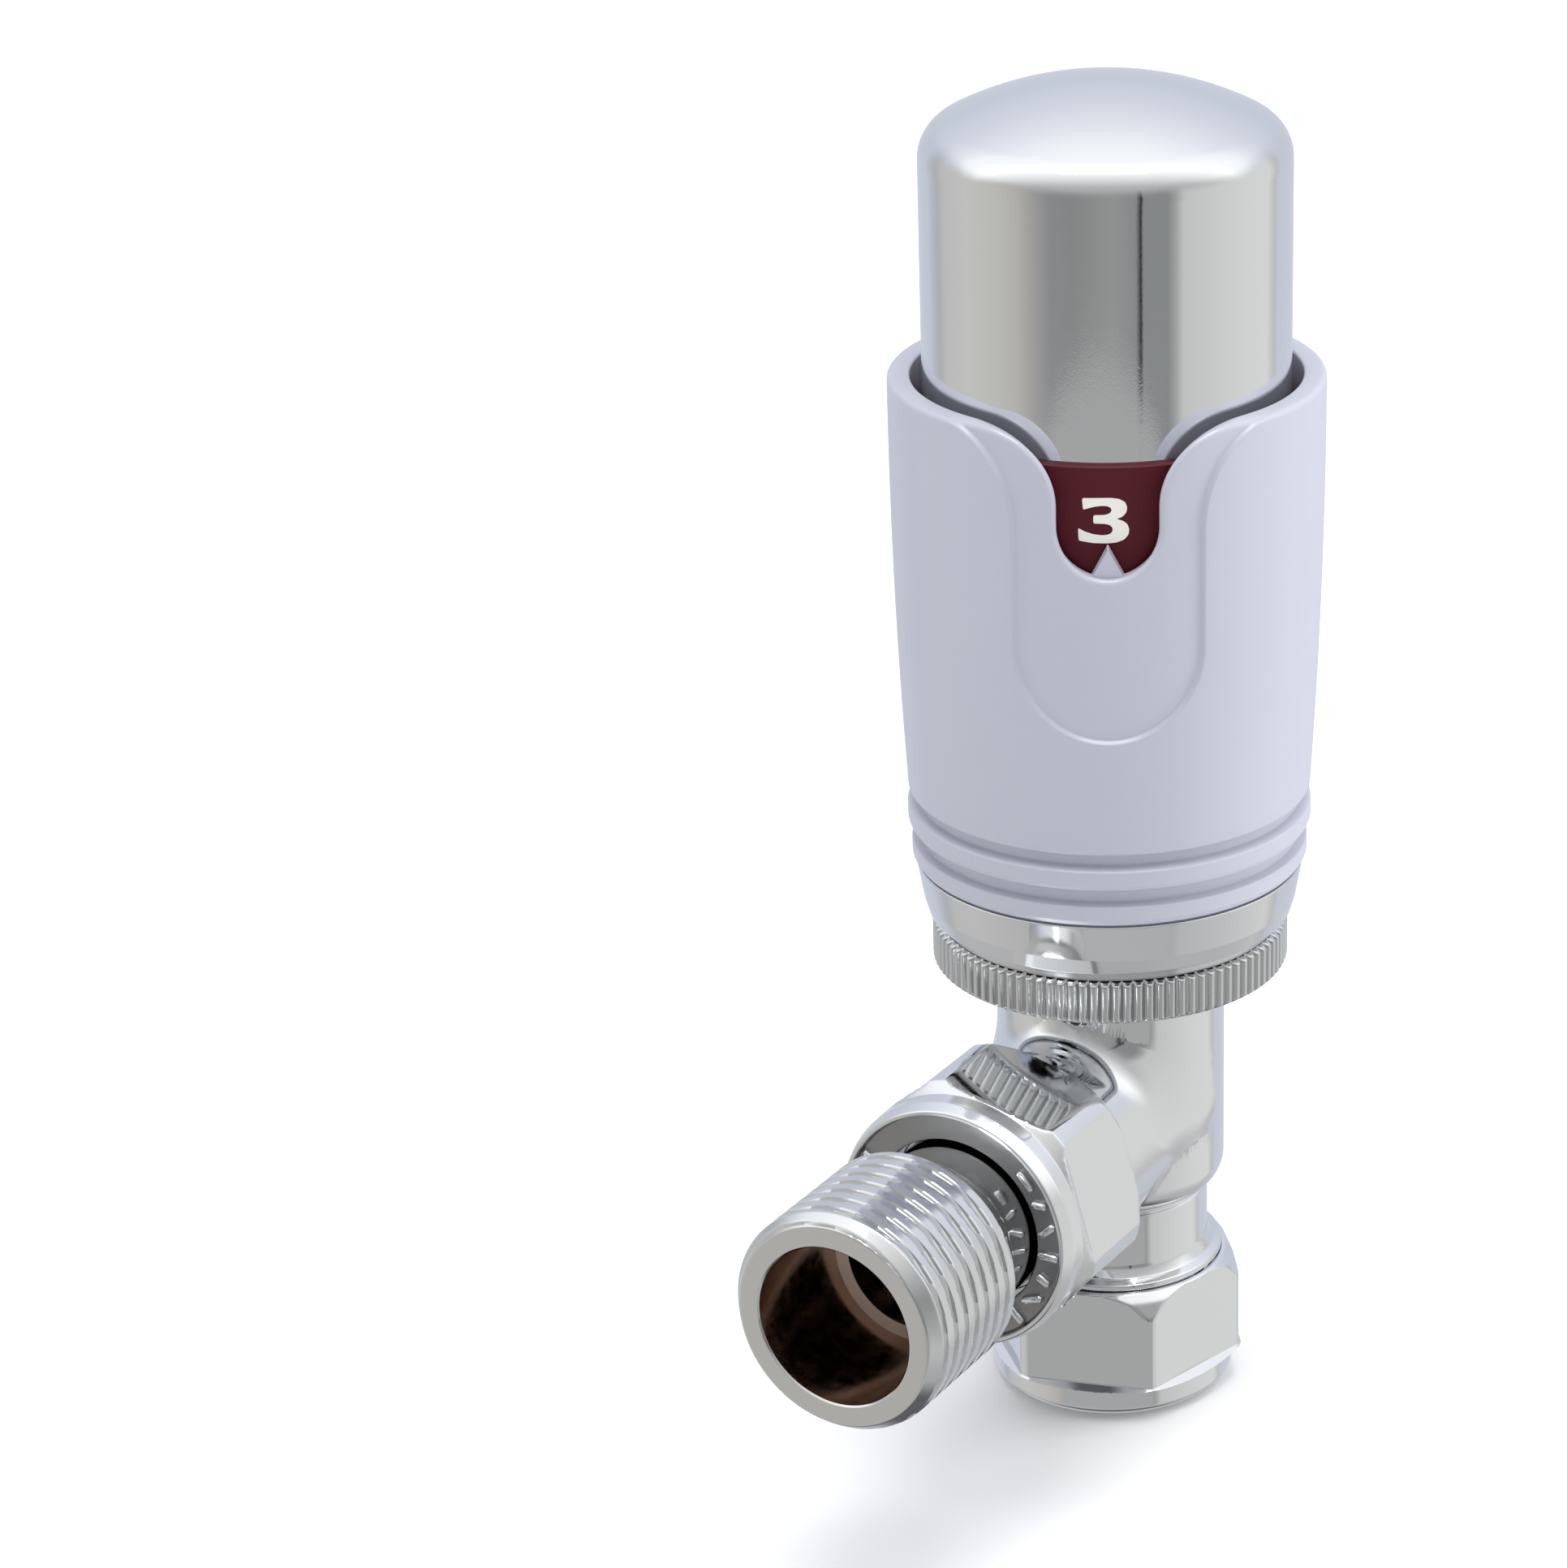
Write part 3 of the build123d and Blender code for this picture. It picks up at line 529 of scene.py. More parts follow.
def frost_mark():
    """Six-armed mark of three crossing strokes, as separate loops."""
    loops = []
    for k in range(3):
        angle = math.radians(60 * k)
        along = np.array((math.sin(angle), math.cos(angle)))
        loops.append(stroke([-1.95 * along, -0.6 * along, 0.6 * along, 1.95 * along], 0.42))
    return loops


def figure(name, loops, angle):
    """Raised figure on the dial ring, centred at an angle from the front."""
    low, high = heights("scale_ring")
    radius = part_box("scale_ring")[1].x / MM
    middle = low + 7.4
    corners = np.vstack(loops)
    grid = np.stack(np.meshgrid(
        np.arange(corners[:, 0].min(), corners[:, 0].max(), 0.3),
        np.arange(corners[:, 1].min(), corners[:, 1].max(), 0.5),
    ), axis=-1).reshape(-1, 2)
    flat, triangles = filled(loops, grid[inside(grid, loops)])

    def wrapped(raise_by):
        def place(points):
            turn = math.radians(angle) + points[:, 0] / radius
            return around_axis(radius + raise_by, turn, middle + points[:, 1])
        return place

    piece = plate(name, flat, triangles, wrapped(0.05), wrapped(-0.03))
    finish(piece, "handwheel", None, "scale_plastic", FIGURE)
    piece.data.set_sharp_from_angle(angle=math.radians(40))
    return piece


DIAL = {
    "figure_5": ([softened(FIVE)], -101.0),
    "figure_4": ([softened(FOUR, 1), softened(FOUR_HOLE, 1)], -51.0),
    "figure_3": ([softened(THREE)], -1.0),
    "figure_2": ([softened(TWO)], 49.0),
    "figure_1": ([softened(ONE, 1)], 99.0),
}
for name, (loops, angle) in DIAL.items():
    figure(name, loops, angle)
for k, loop in enumerate(frost_mark()):
    figure(f"frost_arm_{k + 1}", [loop], 149.0)


# ---------------------------------------------------------------- outer sleeve
sleeve_low, sleeve_top = heights("outer_sleeve")
SLEEVE_BORE = 17.75
BOTTOM_R = 18.69
BELLY_R, BELLY_Z = 19.52, 79.3
TOP_R = 19.83
RIM_ROUND = 0.5
BORE_ROUND = 0.25
FOOT_ROUND = 0.25
GRID_STEP = 0.72
GRID_MARGIN = 0.3
LINE_STEP = 0.33
PANEL_DEPTH = 0.42
PANEL_EDGE = 0.42
FLAT_R = 19.6
FLAT_X = 15.0


def circle_through(a, b, c):
    """Centre and radius of the circle through three points."""
    (ax, ay), (bx, by), (cx, cy) = a, b, c
    d = 2 * (ax * (by - cy) + bx * (cy - ay) + cx * (ay - by))
    sa, sb, sc = ax * ax + ay * ay, bx * bx + by * by, cx * cx + cy * cy
    x = (sa * (by - cy) + sb * (cy - ay) + sc * (ay - by)) / d
    y = (sa * (cx - bx) + sb * (ax - cx) + sc * (bx - ax)) / d
    return x, y, math.dist((x, y), a)


SIDE_X, SIDE_Z, SIDE_R = circle_through(
    (BOTTOM_R, sleeve_low), (BELLY_R, BELLY_Z), (TOP_R, sleeve_top - RIM_ROUND)
)


def sleeve_radius(height):
    """Outer radius of the sleeve's barrel shape at a height."""
    return SIDE_X + np.sqrt(SIDE_R ** 2 - (height - SIDE_Z) ** 2)


turn_at_flat = math.asin(FLAT_X / FLAT_R)
FLAT_END = FLAT_X + (math.pi - turn_at_flat) * math.sqrt(FLAT_R ** 2 - FLAT_X ** 2)


def sleeve_turn(u, radius):
    """Angle from the front of a flat coordinate that equals x near the front."""
    front = np.clip(u, -FLAT_X, FLAT_X)
    edge = np.arcsin(np.clip(FLAT_X / radius, -0.999, 0.999))
    rest = (np.abs(u) - FLAT_X).clip(0) / (FLAT_END - FLAT_X)
    return np.arcsin(front / radius) + np.sign(u) * rest * (math.pi - edge)


def quarter(centre, across, rise, start, end, steps):
    """Elliptical arc between two angles, in degrees."""
    turn = np.linspace(math.radians(start), math.radians(end), steps)
    return np.stack((centre[0] + across * np.cos(turn), centre[1] + rise * np.sin(turn)), axis=1)


def flared(half, round_z, flare_x, flare_z, top):
    """Flared U from its left mouth, down round the bottom, to its right mouth."""
    right = quarter((flare_x, flare_z), flare_x - half, top - flare_z, 180, 90, 26)
    bottom = quarter((0, round_z), half, half, 180, 360, 45)
    left = right[::-1] * (-1, 1)
    side = np.linspace((-half, flare_z), (-half, round_z), 10)[1:-1]
    other = side[::-1] * (-1, 1)
    return np.vstack((left, side, bottom, other, right))


def evenly(path, step):
    """Path with points a fixed distance apart."""
    path = np.asarray(path, float)
    gaps = np.linalg.norm(np.diff(path, axis=0), axis=1)
    along = np.concatenate(([0], np.cumsum(gaps)))
    marks = np.linspace(0, along[-1], max(2, int(along[-1] / step) + 1))
    return np.stack([np.interp(marks, along, path[:, k]) for k in (0, 1)], axis=1)


def beside(path, offset):
    """Parallel copy of a path, moved to its right-hand side."""
    way = np.gradient(path, axis=0)
    way /= np.linalg.norm(way, axis=1)[:, None]
    return path + np.stack((way[:, 1], -way[:, 0]), axis=1) * offset


WINDOW = flared(4.72, 92.65, 11.8, 94.5, sleeve_top)
PANEL = flared(8.4, 81.0, 15.5, 92.0, sleeve_top + 0.2)
MOUTH = np.vstack((
    np.linspace((-FLAT_END, sleeve_top), (WINDOW[0][0], sleeve_top), 60)[:-1],
    WINDOW,
    np.linspace((WINDOW[-1][0], sleeve_top), (FLAT_END, sleeve_top), 60)[1:],
))
MOUTH = evenly(MOUTH, LINE_STEP)
PANEL = evenly(PANEL, LINE_STEP)


def panel_drop(flat):
    """How far the panel is sunk at each flat point."""
    gap = distance(flat, PANEL)
    within = inside(flat, [np.vstack((PANEL, [(PANEL[-1][0], 120), (PANEL[0][0], 120)]))])
    signed = np.where(within, gap, -gap)
    t = np.clip(signed / PANEL_EDGE + 0.5, 0, 1)
    return PANEL_DEPTH * t * t * (3 - 2 * t)


def edge_drop(flat, size, foot):
    """Fall of a rounded edge along the mouth and along the foot of the sleeve."""
    mouth = np.clip(size - distance(flat, MOUTH), 0, size)
    base = np.clip(foot - (flat[:, 1] - sleeve_low), 0, foot)
    return size - np.sqrt(size ** 2 - mouth ** 2) + foot - np.sqrt(foot ** 2 - base ** 2)


def sleeve_outside(flat):
    full = sleeve_radius(flat[:, 1])
    turn = sleeve_turn(flat[:, 0], full)
    radius = full - panel_drop(flat) - edge_drop(flat, RIM_ROUND, FOOT_ROUND)
    return around_axis(radius, turn, flat[:, 1])


def sleeve_inside(flat):
    bore = np.full(len(flat), SLEEVE_BORE)
    turn = sleeve_turn(flat[:, 0], bore)
    radius = bore + edge_drop(flat, BORE_ROUND, 0.15)
    return around_axis(radius, turn, flat[:, 1])


def runs_within(line, closed):
    """Stretches of a line that lie inside the sleeve's flat outline."""
    good = inside(line, closed) & (line[:, 1] < sleeve_top) & (line[:, 1] > sleeve_low)
    good &= np.abs(line[:, 0]) < FLAT_END - 0.05
    runs, run = [], []
    for point, keep in zip(line, good):
        if keep:
            run.append(point)
        else:
            runs.append(run)
            run = []
    runs.append(run)
    return [run for run in runs if len(run) > 1]


def sleeve_grid():
    """Staggered points over the whole flat sheet of the sleeve."""
    grid = []
    rows = int((sleeve_top - sleeve_low) / GRID_STEP)
    for row in range(1, rows):
        shift = GRID_STEP / 2 * (row % 2)
        height = sleeve_low + 0.5 + (sleeve_top - sleeve_low - 0.6) * row / rows
        for u in np.arange(-FLAT_END + 0.4 + shift, FLAT_END - 0.4, GRID_STEP):
            grid.append((u, height))
    return np.array(grid)


def make_sleeve():
    border = np.vstack((
        MOUTH,
        np.linspace((FLAT_END, sleeve_top), (FLAT_END, sleeve_low), 34)[1:],
        np.linspace((FLAT_END, sleeve_low), (-FLAT_END, sleeve_low), 260)[1:],
        np.linspace((-FLAT_END, sleeve_low), (-FLAT_END, sleeve_top), 34)[1:-1],
    ))
    closed = [border]
    lines = []
    for k in range(1, 7):
        lines.append(beside(MOUTH, RIM_ROUND * (1 - math.cos(math.radians(15 * k)))))
    lines.append(beside(MOUTH, RIM_ROUND * 1.35))
    for k in range(-4, 5):
        lines.append(beside(PANEL, PANEL_EDGE * 0.55 * k / 4))
    for k in range(1, 4):
        level = sleeve_low + FOOT_ROUND * (1 - math.cos(math.radians(30 * k)))
        lines.append(np.linspace((-FLAT_END, level), (FLAT_END, level), 260))
    trimmed = []
    for line in lines:
        trimmed += runs_within(line, closed)
    grid = sleeve_grid()
    clear = inside(grid, closed)
    clear &= distance(grid, MOUTH) > RIM_ROUND * 1.35 + GRID_MARGIN
    clear &= distance(grid, PANEL) > PANEL_EDGE * 0.55 + GRID_MARGIN
    flat, triangles = filled(closed, grid[clear], trimmed)
    return plate(
        "dial_sleeve", flat, triangles, sleeve_outside, sleeve_inside,
        open_edge=lambda p: abs(p[0]) > FLAT_END - 1e-3,
    )


def make_pointer():
    """Small wedge that stands in the window and points at the dial."""
    tip, base, half = 90.85, 87.75, 1.62
    loop = softened([(-half, base), (half, base), (0.0, tip)], 1)
    shape, triangles = filled([loop], [])

    def at(out, grow):
        def place(points):
            middle = np.array((0.0, (tip + 2 * base) / 3))
            moved = middle + (points - middle) * grow
            return around_axis(out, moved[:, 0] / SLEEVE_BORE, moved[:, 1])
        return place

    return plate("dial_pointer", shape, triangles, at(18.72, 0.9), at(SLEEVE_BORE - 0.02, 1.0))


finish(make_sleeve(), "valve_and_sleeve", "outer_sleeve", "white_plastic", WHITE)
pointer = finish(make_pointer(), "valve_and_sleeve", None, "white_plastic", WHITE)
pointer.data.set_sharp_from_angle(angle=math.radians(30))


# ---------------------------------------------------------------- collars
def make_base_collar():
    low, high = heights("base_collar")
    outline = rounded([
        (13.2, 55.5), (16.4, 55.5), (16.4, low, 0.1), (18.12, low, 0.2), (18.45, low + 0.55, 0.2),
        (18.45, 56.3, 0.22), (17.6, 56.62, 0.15), (17.6, 58.1, 0.12), (18.62, 58.1, 0.16),
        (18.78, 58.5, 0.2), (18.78, 59.9, 0.25), (17.8, 60.3, 0.15), (17.8, 61.5, 0.1),
        (17.7, 61.5), (17.7, high, 0.1), (16.6, high), (16.6, 57.4), (13.2, 57.4),
    ])
    return lathe("banded_collar", outline, 256)


def make_cone_collar():
    low, high = heights("chrome_collar")
    outline = rounded([
        (16.35, low), (17.05, low, 0.12), (17.5, 50.65, 0.5), (18.12, 54.2, 0.12),
        (17.5, 54.2), (17.5, high), (16.35, high),
    ])
    return lathe("cone_collar", outline, 256)


banded = finish(
    make_base_collar(), "valve_and_sleeve", "base_collar", "white_plastic", WHITE
)
even_shading(banded)
cone = finish(make_cone_collar(), "valve_and_sleeve", "chrome_collar", "chrome_cap", NUT_CHROME)
even_shading(cone)


# ---------------------------------------------------------------- knurled head nut
KNURLS = 100
KNURL_R = 16.7
KNURL_DEPTH = 0.5


def knurled(turn, radius, height):
    """Straight rounded ridges between narrow grooves."""
    place = (turn * KNURLS / (2 * math.pi)) % 1.0
    from_ridge = np.abs(place - 0.5) * 2
    groove = np.clip((from_ridge - 0.52) / 0.48, 0, 1)
    crown = 0.07 * (from_ridge / 0.52) ** 2
    limit = KNURL_R - np.where(from_ridge < 0.52, crown, 0.07 + (KNURL_DEPTH - 0.07) * groove)
    outer = radius > KNURL_R - 1.2
    return np.where(outer, np.minimum(radius, limit + (radius - KNURL_R) * 0.3), radius)


def make_head_nut():
    low, high = heights("head_nut")
    top = 48.05
    outline = rounded([
        (15.5, low, 0.1), (16.1, low, 0.12), (KNURL_R, low + 0.4, 0.3), (KNURL_R, top - 0.4, 0.3),
        (16.1, top, 0.15), (15.95, top, 0.05), (15.95, high, 0.1), (13.5, high), (13.5, 54.2),
        (15.1, 54.2), (15.1, low + 0.4),
    ], step=20.0)
    return lathe("knurled_nut", outline, KNURLS * 10, knurled)


knurl = finish(make_head_nut(), "head_fixing_nut", "head_nut", "chrome_brass", KNURL_CHROME)
even_shading(knurl, 60.0)


# ---------------------------------------------------------------- valve body
BARREL_R = 10.78
BRANCH_R = 9.8
FILLET_R = 3.0
LIP_R, LIP_Z = 3.1, 23.3        # round under the barrel


def branch_flare(turn, radius, height):
    """Fillet that runs the branch out into the barrel, fading away below it."""
    fade = np.clip((np.sin(turn) + 0.35) / 0.55, 0.0, 1.0)
    size = FILLET_R * (0.02 + 0.98 * fade * fade * (3 - 2 * fade))
    low, high = np.full_like(radius, BRANCH_R), BRANCH_R + size * 0.97
    for _ in range(18):
        middle = (low + high) / 2
        from_branch = middle - BRANCH_R
        from_barrel = np.hypot(middle * np.cos(turn), height) - BARREL_R
        gap = size - np.hypot(np.clip(size - from_branch, 0, None), np.clip(size - from_barrel, 0, None))
        low, high = np.where(gap < 0, middle, low), np.where(gap < 0, high, middle)
    outer = (radius > BRANCH_R - 0.05) & (height < 17.0)
    return np.where(outer, low, radius)


def make_body():
    low, high = heights("valve_body")
    lip = [
        (BARREL_R - LIP_R + LIP_R * math.cos(math.radians(a)),
         LIP_Z + LIP_R * math.sin(math.radians(a)), 0)
        for a in range(-57, 1, 5)
    ]
    outside = rounded([
        (0.0, low), (9.4, low), (9.9, low + 0.6), (9.9, 12.2), (9.2, 12.7, 0.2),
        (10.3, 12.85, 0.15), (10.6, 13.15, 0.25), (10.6, 13.65, 0.25), (9.75, 13.95, 0.3),
        (9.2, 14.9, 0.9), (9.2, 20.1, 0.12), (9.02, 20.25, 0.05), (9.02, 20.45, 0.05),
    ] + lip + [
        (BARREL_R, 43.9), (14.9, 45.0), (14.9, high), (0.0, high),
    ])
    piece = lathe("valve_casting", divided(outside, 2.5), 200)
    branch = rounded([
        (0.0, 0.0), (BRANCH_R, 0.0), (BRANCH_R, 17.6), (9.7, 17.8), (9.7, 22.3), (0.0, 22.3),
    ])
    combine(piece, lathe("branch", divided(branch, 0.4), 160, branch_flare, ALONG_TAIL), "UNION")
    bore = [
        (0.0, low - 1), (9.4, low - 1), (9.0, low), (7.6, 8.6), (7.6, 19.0), (6.2, 19.0), (6.2, 24.6),
        (7.0, 24.6), (7.0, 23.4), (8.6, 23.4), (8.6, 36.2), (9.3, 36.2), (9.3, high + 1), (0.0, high + 1),
    ]
    combine(piece, lathe("bore", bore, 160), "DIFFERENCE")
    port = [(0.0, 6.6), (6.8, 6.6), (6.8, 23.5), (0.0, 23.5)]
    combine(piece, lathe("port", port, 96, place=ALONG_TAIL), "DIFFERENCE")
    piece.data.shade_smooth()
    return piece


casting = finish(make_body(), "valve_and_sleeve", "valve_body", "chrome_brass", FITTING_CHROME)
even_shading(casting, 35.0)


# ---------------------------------------------------------------- compression nut
PIPE_FLAT = 11.0
PIPE_CORNER = 12.6
PIPE_TURN = math.radians(-43.0)


def pipe_nut_shape(turn, radius, height):
    """Six flats above a round skirt, run out over the skirt's edge."""
    hexagon = smooth_min(flats(turn, PIPE_FLAT, PIPE_TURN, 0.8), PIPE_CORNER, 0.25)
    open_by = np.clip(3.3 - height, 0, None) * 2.0
    outer = radius > 10.4
    return np.where(outer & (height < 12.8), smooth_min(radius, hexagon + open_by, 0.12), radius)


def make_pipe_nut():
    low, high = heights("compression_nut")
    outline = rounded([
        (7.6, low, 0.15), (10.75, low, 0.5), (11.55, low + 0.75, 0.6), (11.58, low + 2.75, 0.1),
        (12.75, low + 3.15, 0.2), (12.75, high - 2.9, 1.4), (11.75, high - 0.75, 0.9),
        (10.95, high, 0.3), (10.6, high, 0.15), (10.1, high - 0.6), (10.1, 4.9), (7.6, 2.4),
    ], step=8.0)
    return lathe("pipe_nut_shell", divided(outline, 0.12), 420, pipe_nut_shape)


pipe_nut = finish(make_pipe_nut(), "pipe_nut", "compression_nut", "chrome_brass", NUT_CHROME)
even_shading(pipe_nut, 60.0)


# ---------------------------------------------------------------- union nut
UNION_FLAT = 11.6
UNION_TURN = math.radians(76.0)
UNION_CORNER = 12.9
UNION_RING = 12.0


def union_shape(turn, radius, height):
    """Hexagon whose flats run forward to the round ring."""
    depth = UNION_FLAT + np.clip(height - 27.3, 0, None) * 0.62
    limit = flats(turn, depth, UNION_TURN)
    outer = (radius > 10.6) & (height < 28.4)
    return np.where(outer, smooth_min(radius, limit, 0.07), radius)


def make_union_nut():
    low, high = reach("union_nut")
    outline = rounded([
        (10.0, low, 0.1), (10.9, low, 0.3), (12.1, low + 0.4, 0.3), (UNION_CORNER, low + 1.4, 0.5),
        (UNION_CORNER, 27.0, 0.25), (UNION_RING, 28.2, 0.12), (11.93, 29.8, 0.4),
        (11.5, high, 0.35), (11.12, high, 0.12),
        (10.92, 30.3, 0.12), (8.45, 30.3, 0.2), (8.45, 26.6), (10.0, 26.6),
    ], step=10.0)
    piece = lathe("union_nut_shell", divided(outline, 0.3), 420, union_shape, ALONG_TAIL)
    # Faces inside the recess take the second material, which is darkened with painted shade.
    for face in piece.data.polygons:
        middle = face.center - Vector((0, 0, BRANCH_Z * MM))
        depth = middle.dot(TAIL_AXIS)
        radius = (middle - TAIL_AXIS * depth).length / MM
        if radius < 11.05 and depth / MM > 30.2:
            face.material_index = 1
    return piece


union = finish(
    make_union_nut(), "tail_union_nut", "union_nut", "chrome_brass", NUT_CHROME, SHADED_CAST_RECESS
)
even_shading(union, 60.0)


def raised_dash(spots, faces, angle, radius, length, width, tilt):
    """One soft-topped dash on the recessed face, added to a shared mesh."""
    around = 12
    base_z, tall = 30.27, 0.45
    first = len(spots)
    rings = [(1.0, 0.0), (0.96, 0.3), (0.7, tall)]
    for grow, rise in rings:
        for k in range(around):
            a = 2 * math.pi * k / around
            x = (length / 2 - width / 2) * (1 if math.cos(a) > 0 else -1) + width / 2 * math.cos(a)
            y = width / 2 * math.sin(a)
            x, y = x - (1 - grow) * width / 2 * math.cos(a), y * grow
            tx = x * math.cos(tilt) - y * math.sin(tilt)
            ty = x * math.sin(tilt) + y * math.cos(tilt)
            out = radius + tx
            turn = angle + ty / radius
            spots.append((out * math.cos(turn), out * math.sin(turn), base_z + rise))
    for ring in range(len(rings) - 1):
        for k in range(around):
            a = first + ring * around + k
            b = first + ring * around + (k + 1) % around
            faces.append((a, b, b + around, a + around))
    faces.append(tuple(first + (len(rings) - 1) * around + k for k in range(around)))
    faces.append(tuple(first + k for k in range(around - 1, -1, -1)))


def make_dashes():
    """Two groups of dashes round the recessed face."""
    spots, faces = [], []
    tilts = (0.0, 0.5, -0.5, 1.57, 0.0, 0.9, -0.3)
    for k, degrees in enumerate([*range(-110, 52, 15), *range(150, 211, 15)]):
        tilt = tilts[k % len(tilts)]
        raised_dash(spots, faces, math.radians(degrees), 9.75, 2.2 if k % 3 else 1.6, 0.8, tilt)
    return new_object("recess_dashes", spots, faces, ALONG_TAIL)


finish(make_dashes(), "tail_union_nut", None, "chrome_brass", NUT_CHROME)


# ---------------------------------------------------------------- tailpiece
PITCH = 1.814
THREAD_R = 10.48
ROOT_R = 9.5
FIRST_CREST = 38.5


def threaded(turn, radius, height):
    """Right-handed helical thread with rounded crests and roots, faded at both ends."""
    place = ((height - FIRST_CREST) / PITCH + turn / (2 * math.pi)) % 1.0
    wave = np.abs(place - 0.5) * 2
    wave = np.clip((wave - 0.04) / 0.38, 0, 1)
    soft = wave * wave * (3 - 2 * wave)
    wave = 0.7 * wave + 0.3 * soft
    start = np.clip((height - 37.0) / 1.0, 0, 1)
    depth = (THREAD_R - ROOT_R) * (1 - wave) * start
    outer = (radius > 8.9) & (height > 36.5)
    return np.where(outer, np.minimum(radius, THREAD_R - depth), radius)


def make_tail():
    low, high = reach("tailpiece")
    outline = rounded([
        (6.3, low, 0.1), (9.65, low, 0.15), (9.65, 26.3, 0.15), (8.05, 26.3, 0.1), (8.05, 34.2, 1.2),
        (9.35, 36.6, 0.5), (THREAD_R, 37.7, 0.3), (THREAD_R, high - 1.25, 0.3), (9.55, high, 0.25),
        (7.72, high, 0.05), (7.56, high - 0.16, 0.05), (7.56, 38.8), (6.3, 38.8, 0.1),
    ], step=10.0)
    piece = lathe("threaded_tail", divided(outline, 0.13), 300, threaded, ALONG_TAIL)
    across = np.array([
        ((v.co - Vector((0, 0, BRANCH_Z * MM))) - TAIL_AXIS * v.co.dot(TAIL_AXIS)).length / MM
        for v in piece.data.vertices
    ])
    along = np.array([v.co.dot(TAIL_AXIS) / MM for v in piece.data.vertices])
    for face in piece.data.polygons:
        ids = list(face.vertices)
        radius, depth = across[ids].mean(), along[ids].mean()
        if radius < 7.6 and 38.82 < depth < high - 0.1:
            face.material_index = 1
        # The step ring takes the third material, whose pale colour is painted light.
        elif radius < 7.55 and 38.7 < depth < 38.9:
            face.material_index = 2
        elif radius < 6.4:
            face.material_index = 1
    return piece


tail = finish(
    make_tail(), "valve_and_sleeve", "tailpiece", "chrome_brass", THREAD_CHROME, BORE, STEP_PAINTED_LIGHT
)
even_shading(tail, 50.0)


# ---------------------------------------------------------------- hidden CAD nodes
HIDDEN = {
    "olive": BRASS, "tail_seal": FIBRE, "valve_insert": BRASS, "insert_seal": RUBBER,
    "gland_nut": BRASS, "gland_seal": RUBBER, "pressure_pin": STEEL, "spindle": STEEL,
    "spring_clip": STEEL, "return_spring": SPRING, "disc_holder": BRASS, "seat_washer": RUBBER,
    "washer_screw": BRASS, "sensor_frame": INNER, "retaining_ring": SPRING, "limit_pins": STEEL,
    "sensor_carrier": INNER, "thermostat_sensor": CASE, "sensor_plunger": INNER,
    "overtravel_spring": SPRING, "carrier_cap": INNER, "drive_sleeve": INNER,
}
for node, material in HIDDEN.items():
    dress(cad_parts[node], material)


# ---------------------------------------------------------------- floor
def make_floor():
    size = 6000.0
    piece = new_object(
        "floor", [(-size, -size, 0), (size, -size, 0), (size, size, 0), (-size, size, 0)], [(0, 1, 2, 3)]
    )
    piece.location.z = -0.0004
    made = Shader("floor_paper", (0.93, 0.935, 0.945, 1.0), roughness=0.9)
    made.bump(made.noise(300.0, 4.0), 0.03, 0.0002)
    dress(piece, made.material)
    piece.visible_glossy = False


make_floor()


# ---------------------------------------------------------------- studio surroundings
# Shades by degrees from the front, and by degrees up over the top towards the front.
SIDES = [
    (-180, (0.64, 0.68, 0.77)), (-140, (0.62, 0.66, 0.74)), (-130, (0.52, 0.55, 0.60)),
    (-125, (0.50, 0.515, 0.53)), (-117, (0.60, 0.60, 0.59)), (-95, (0.65, 0.643, 0.614)),
    (-70, (0.60, 0.59, 0.56)), (-56, (0.545, 0.525, 0.49)), (-48, (0.45, 0.435, 0.41)),
    (-40, (0.36, 0.36, 0.355)), (-34, (0.30, 0.303, 0.303)), (-20, (0.287, 0.29, 0.287)),
    (-5, (0.325, 0.326, 0.32)), (4, (0.345, 0.345, 0.338)), (17, (0.31, 0.31, 0.31)),
    (19.3, (0.27, 0.27, 0.27)), (20.0, (0.02, 0.02, 0.02)), (21.2, (0.02, 0.02, 0.02)),
    (22.0, (0.29, 0.295, 0.295)), (38, (0.29, 0.30, 0.30)), (43, (0.43, 0.43, 0.42)),
    (48, (0.65, 0.65, 0.64)), (70, (0.72, 0.72, 0.705)), (95, (0.785, 0.785, 0.77)),
    (117, (0.80, 0.80, 0.785)), (126, (0.60, 0.60, 0.595)), (132, (0.65, 0.685, 0.76)),
    (180, (0.64, 0.68, 0.77)),
]
SKY = [
    (-20, (0.66, 0.70, 0.80)), (15, (0.67, 0.72, 0.83)), (35, (0.76, 0.79, 0.88)),
    (52, (0.92, 0.95, 1.02)), (64, (1.1, 1.12, 1.15)), (100, (1.3, 1.3, 1.3)),
    (122, (0.95, 0.95, 0.94)), (145, (0.55, 0.55, 0.55)), (180, (0.36, 0.36, 0.36)),
]
BACKDROP = (0.93, 0.935, 0.945)


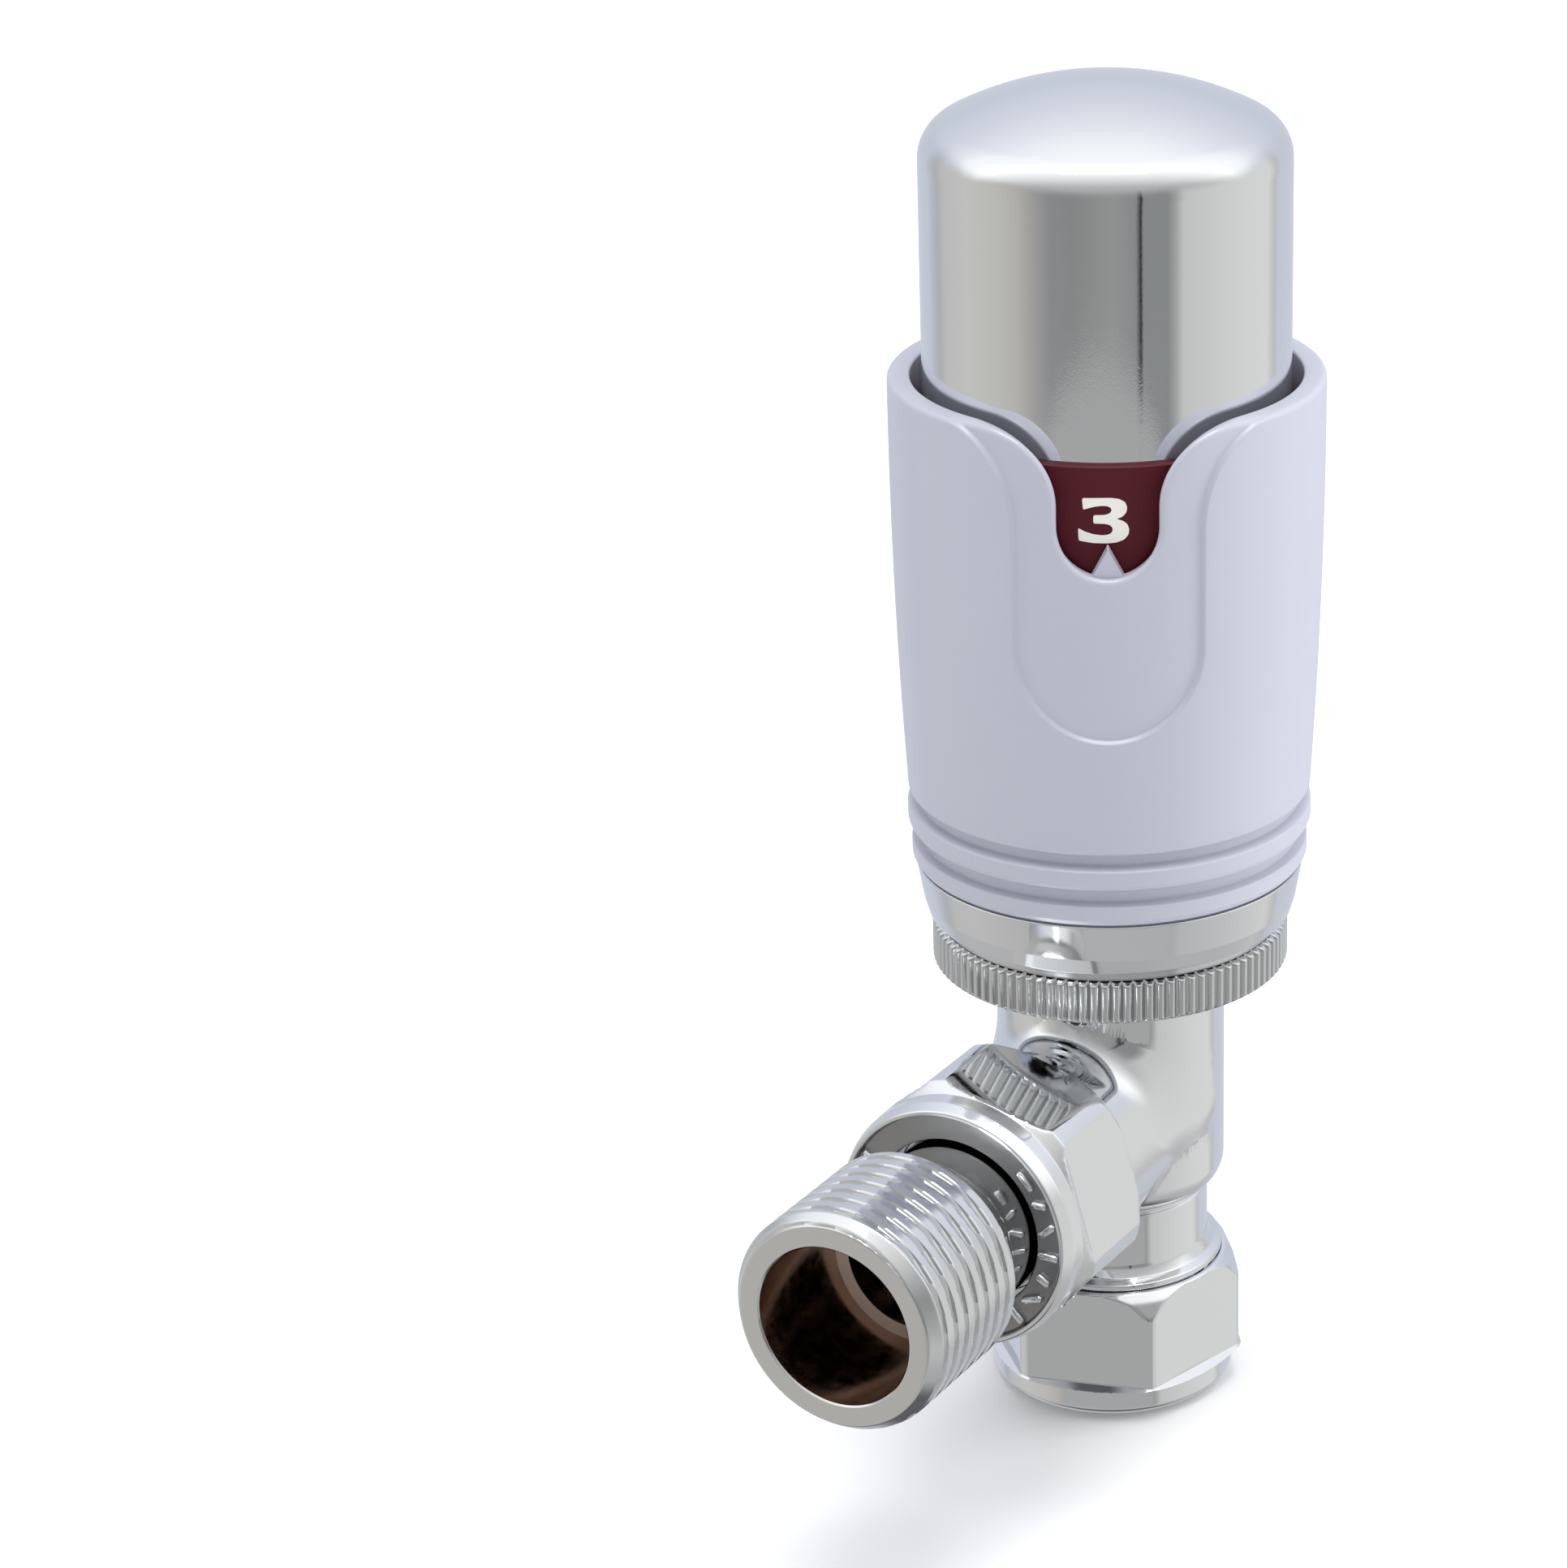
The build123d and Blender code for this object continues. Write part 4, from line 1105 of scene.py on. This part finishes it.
def make_world():
    """Surroundings that the chrome reflects, and an even backdrop for the camera."""
    world = bpy.data.worlds.new("studio")
    bpy.context.scene.world = world
    world.use_nodes = True
    nodes, links = world.node_tree.nodes, world.node_tree.links
    background = nodes["Background"]

    def math_node(operation, *inputs):
        made = nodes.new("ShaderNodeMath")
        made.operation = operation
        for k, value in enumerate(inputs):
            if isinstance(value, (int, float)):
                made.inputs[k].default_value = value
            else:
                links.new(value, made.inputs[k])
        return made.outputs["Value"]

    def ranged(value, start, end, low=0.0, high=1.0):
        made = nodes.new("ShaderNodeMapRange")
        made.interpolation_type = "SMOOTHSTEP"
        for key, number in (("From Min", start), ("From Max", end), ("To Min", low), ("To Max", high)):
            made.inputs[key].default_value = number
        links.new(value, made.inputs["Value"])
        return made.outputs["Result"]

    def mixed(factor, first, second):
        made = nodes.new("ShaderNodeMix")
        made.data_type = "RGBA"
        links.new(factor, made.inputs["Factor"])
        for key, value in (("A", first), ("B", second)):
            slot = [s for s in made.inputs if s.name == key and s.type == "RGBA"][0]
            if isinstance(value, tuple):
                slot.default_value = (*value, 1.0)
            else:
                links.new(value, slot)
        return [s for s in made.outputs if s.type == "RGBA"][0]

    def ramp(value, stops):
        made = nodes.new("ShaderNodeValToRGB")
        elements = made.color_ramp.elements
        while len(elements) < len(stops):
            elements.new(1.0)
        for element, (place, shade) in zip(elements, stops):
            element.position = place
            element.color = (*shade, 1.0)
        links.new(value, made.inputs["Fac"])
        return made.outputs["Color"]

    way = nodes.new("ShaderNodeTexCoord").outputs["Generated"]
    split = nodes.new("ShaderNodeSeparateXYZ")
    links.new(way, split.inputs["Vector"])
    x, y, z = split.outputs
    rise = math_node("DEGREES", math_node("ARCSINE", z))
    front = math_node("MULTIPLY", y, -1.0)
    turn = math_node("DEGREES", math_node("ARCTAN2", x, front))
    part = math_node("DIVIDE", math_node("ADD", turn, 180.0), 360.0)
    sides = ramp(part, [((angle + 180) / 360, shade) for angle, shade in SIDES])
    # pale arch low at the front
    across = math_node("DIVIDE", math_node("ADD", turn, 4.0), 44.0)
    over_arch = math_node("MAXIMUM", math_node("ADD", rise, 19.8), 0.0)
    below = math_node("DIVIDE", over_arch, 2.3)
    arch = math_node("ADD", math_node("MULTIPLY", across, across), math_node("MULTIPLY", below, below))
    arch = ranged(arch, 1.08, 0.92)
    sides = mixed(arch, sides, (0.44, 0.445, 0.44))
    low_part = mixed(ranged(rise, -28.0, -50.0), sides, (0.52, 0.52, 0.525))
    low_part = mixed(ranged(rise, -52.0, -72.0), low_part, (0.14, 0.14, 0.15))
    # angle up from the far horizon, over the top and down to the near one
    over = math_node("DEGREES", math_node("ARCTAN2", z, y))
    part = math_node("DIVIDE", math_node("ADD", over, 20.0), 220.0)
    sky = ramp(part, [((angle + 20) / 220, shade) for angle, shade in SKY])
    high_part = ranged(rise, 3.0, 30.0)
    scene_light = mixed(high_part, low_part, sky)
    seen = nodes.new("ShaderNodeLightPath").outputs["Is Camera Ray"]
    links.new(mixed(seen, scene_light, BACKDROP), background.inputs["Color"])
    background.inputs["Strength"].default_value = 1.0


make_world()


def softbox(name, place, size, power, aim=(0.0, 0.0, 0.06), tint=(1.0, 1.0, 1.0)):
    """Rectangular soft light pointed at the object."""
    data = bpy.data.lights.new(name, "AREA")
    data.shape = "RECTANGLE"
    data.size, data.size_y = size
    data.energy = power
    data.color = tint
    lamp = bpy.data.objects.new(name, data)
    lamp.location = place
    lamp.rotation_euler = (Vector(aim) - Vector(place)).to_track_quat("-Z", "Y").to_euler()
    bpy.context.scene.collection.objects.link(lamp)
    return lamp


softbox("top_box", (0.0, -0.10, 0.95), (0.55, 0.40), 4.5)
side = softbox("side_box", (0.75, 0.10, 0.30), (0.5, 0.7), 3.3)
side.visible_glossy = False


# ---------------------------------------------------------------- camera
LENS = 113.37
SHIFT = -0.2079
LOOK_DOWN = 22.40
ROLL = -0.35
EYE = (0.0, -0.425, 0.236)


def make_camera():
    data = bpy.data.cameras.new("photo_camera")
    data.sensor_width = 36.0
    data.sensor_fit = "HORIZONTAL"
    data.lens = LENS
    data.shift_x = SHIFT
    data.clip_start, data.clip_end = 0.01, 50.0
    camera = bpy.data.objects.new("photo_camera", data)
    pitch = Matrix.Rotation(math.radians(90.0 - LOOK_DOWN), 4, "X")
    roll = Matrix.Rotation(math.radians(ROLL), 4, "Z")
    camera.matrix_world = Matrix.Translation(EYE) @ pitch @ roll
    bpy.context.scene.collection.objects.link(camera)
    bpy.context.scene.camera = camera


make_camera()
bpy.context.scene.view_settings.view_transform = "Standard"
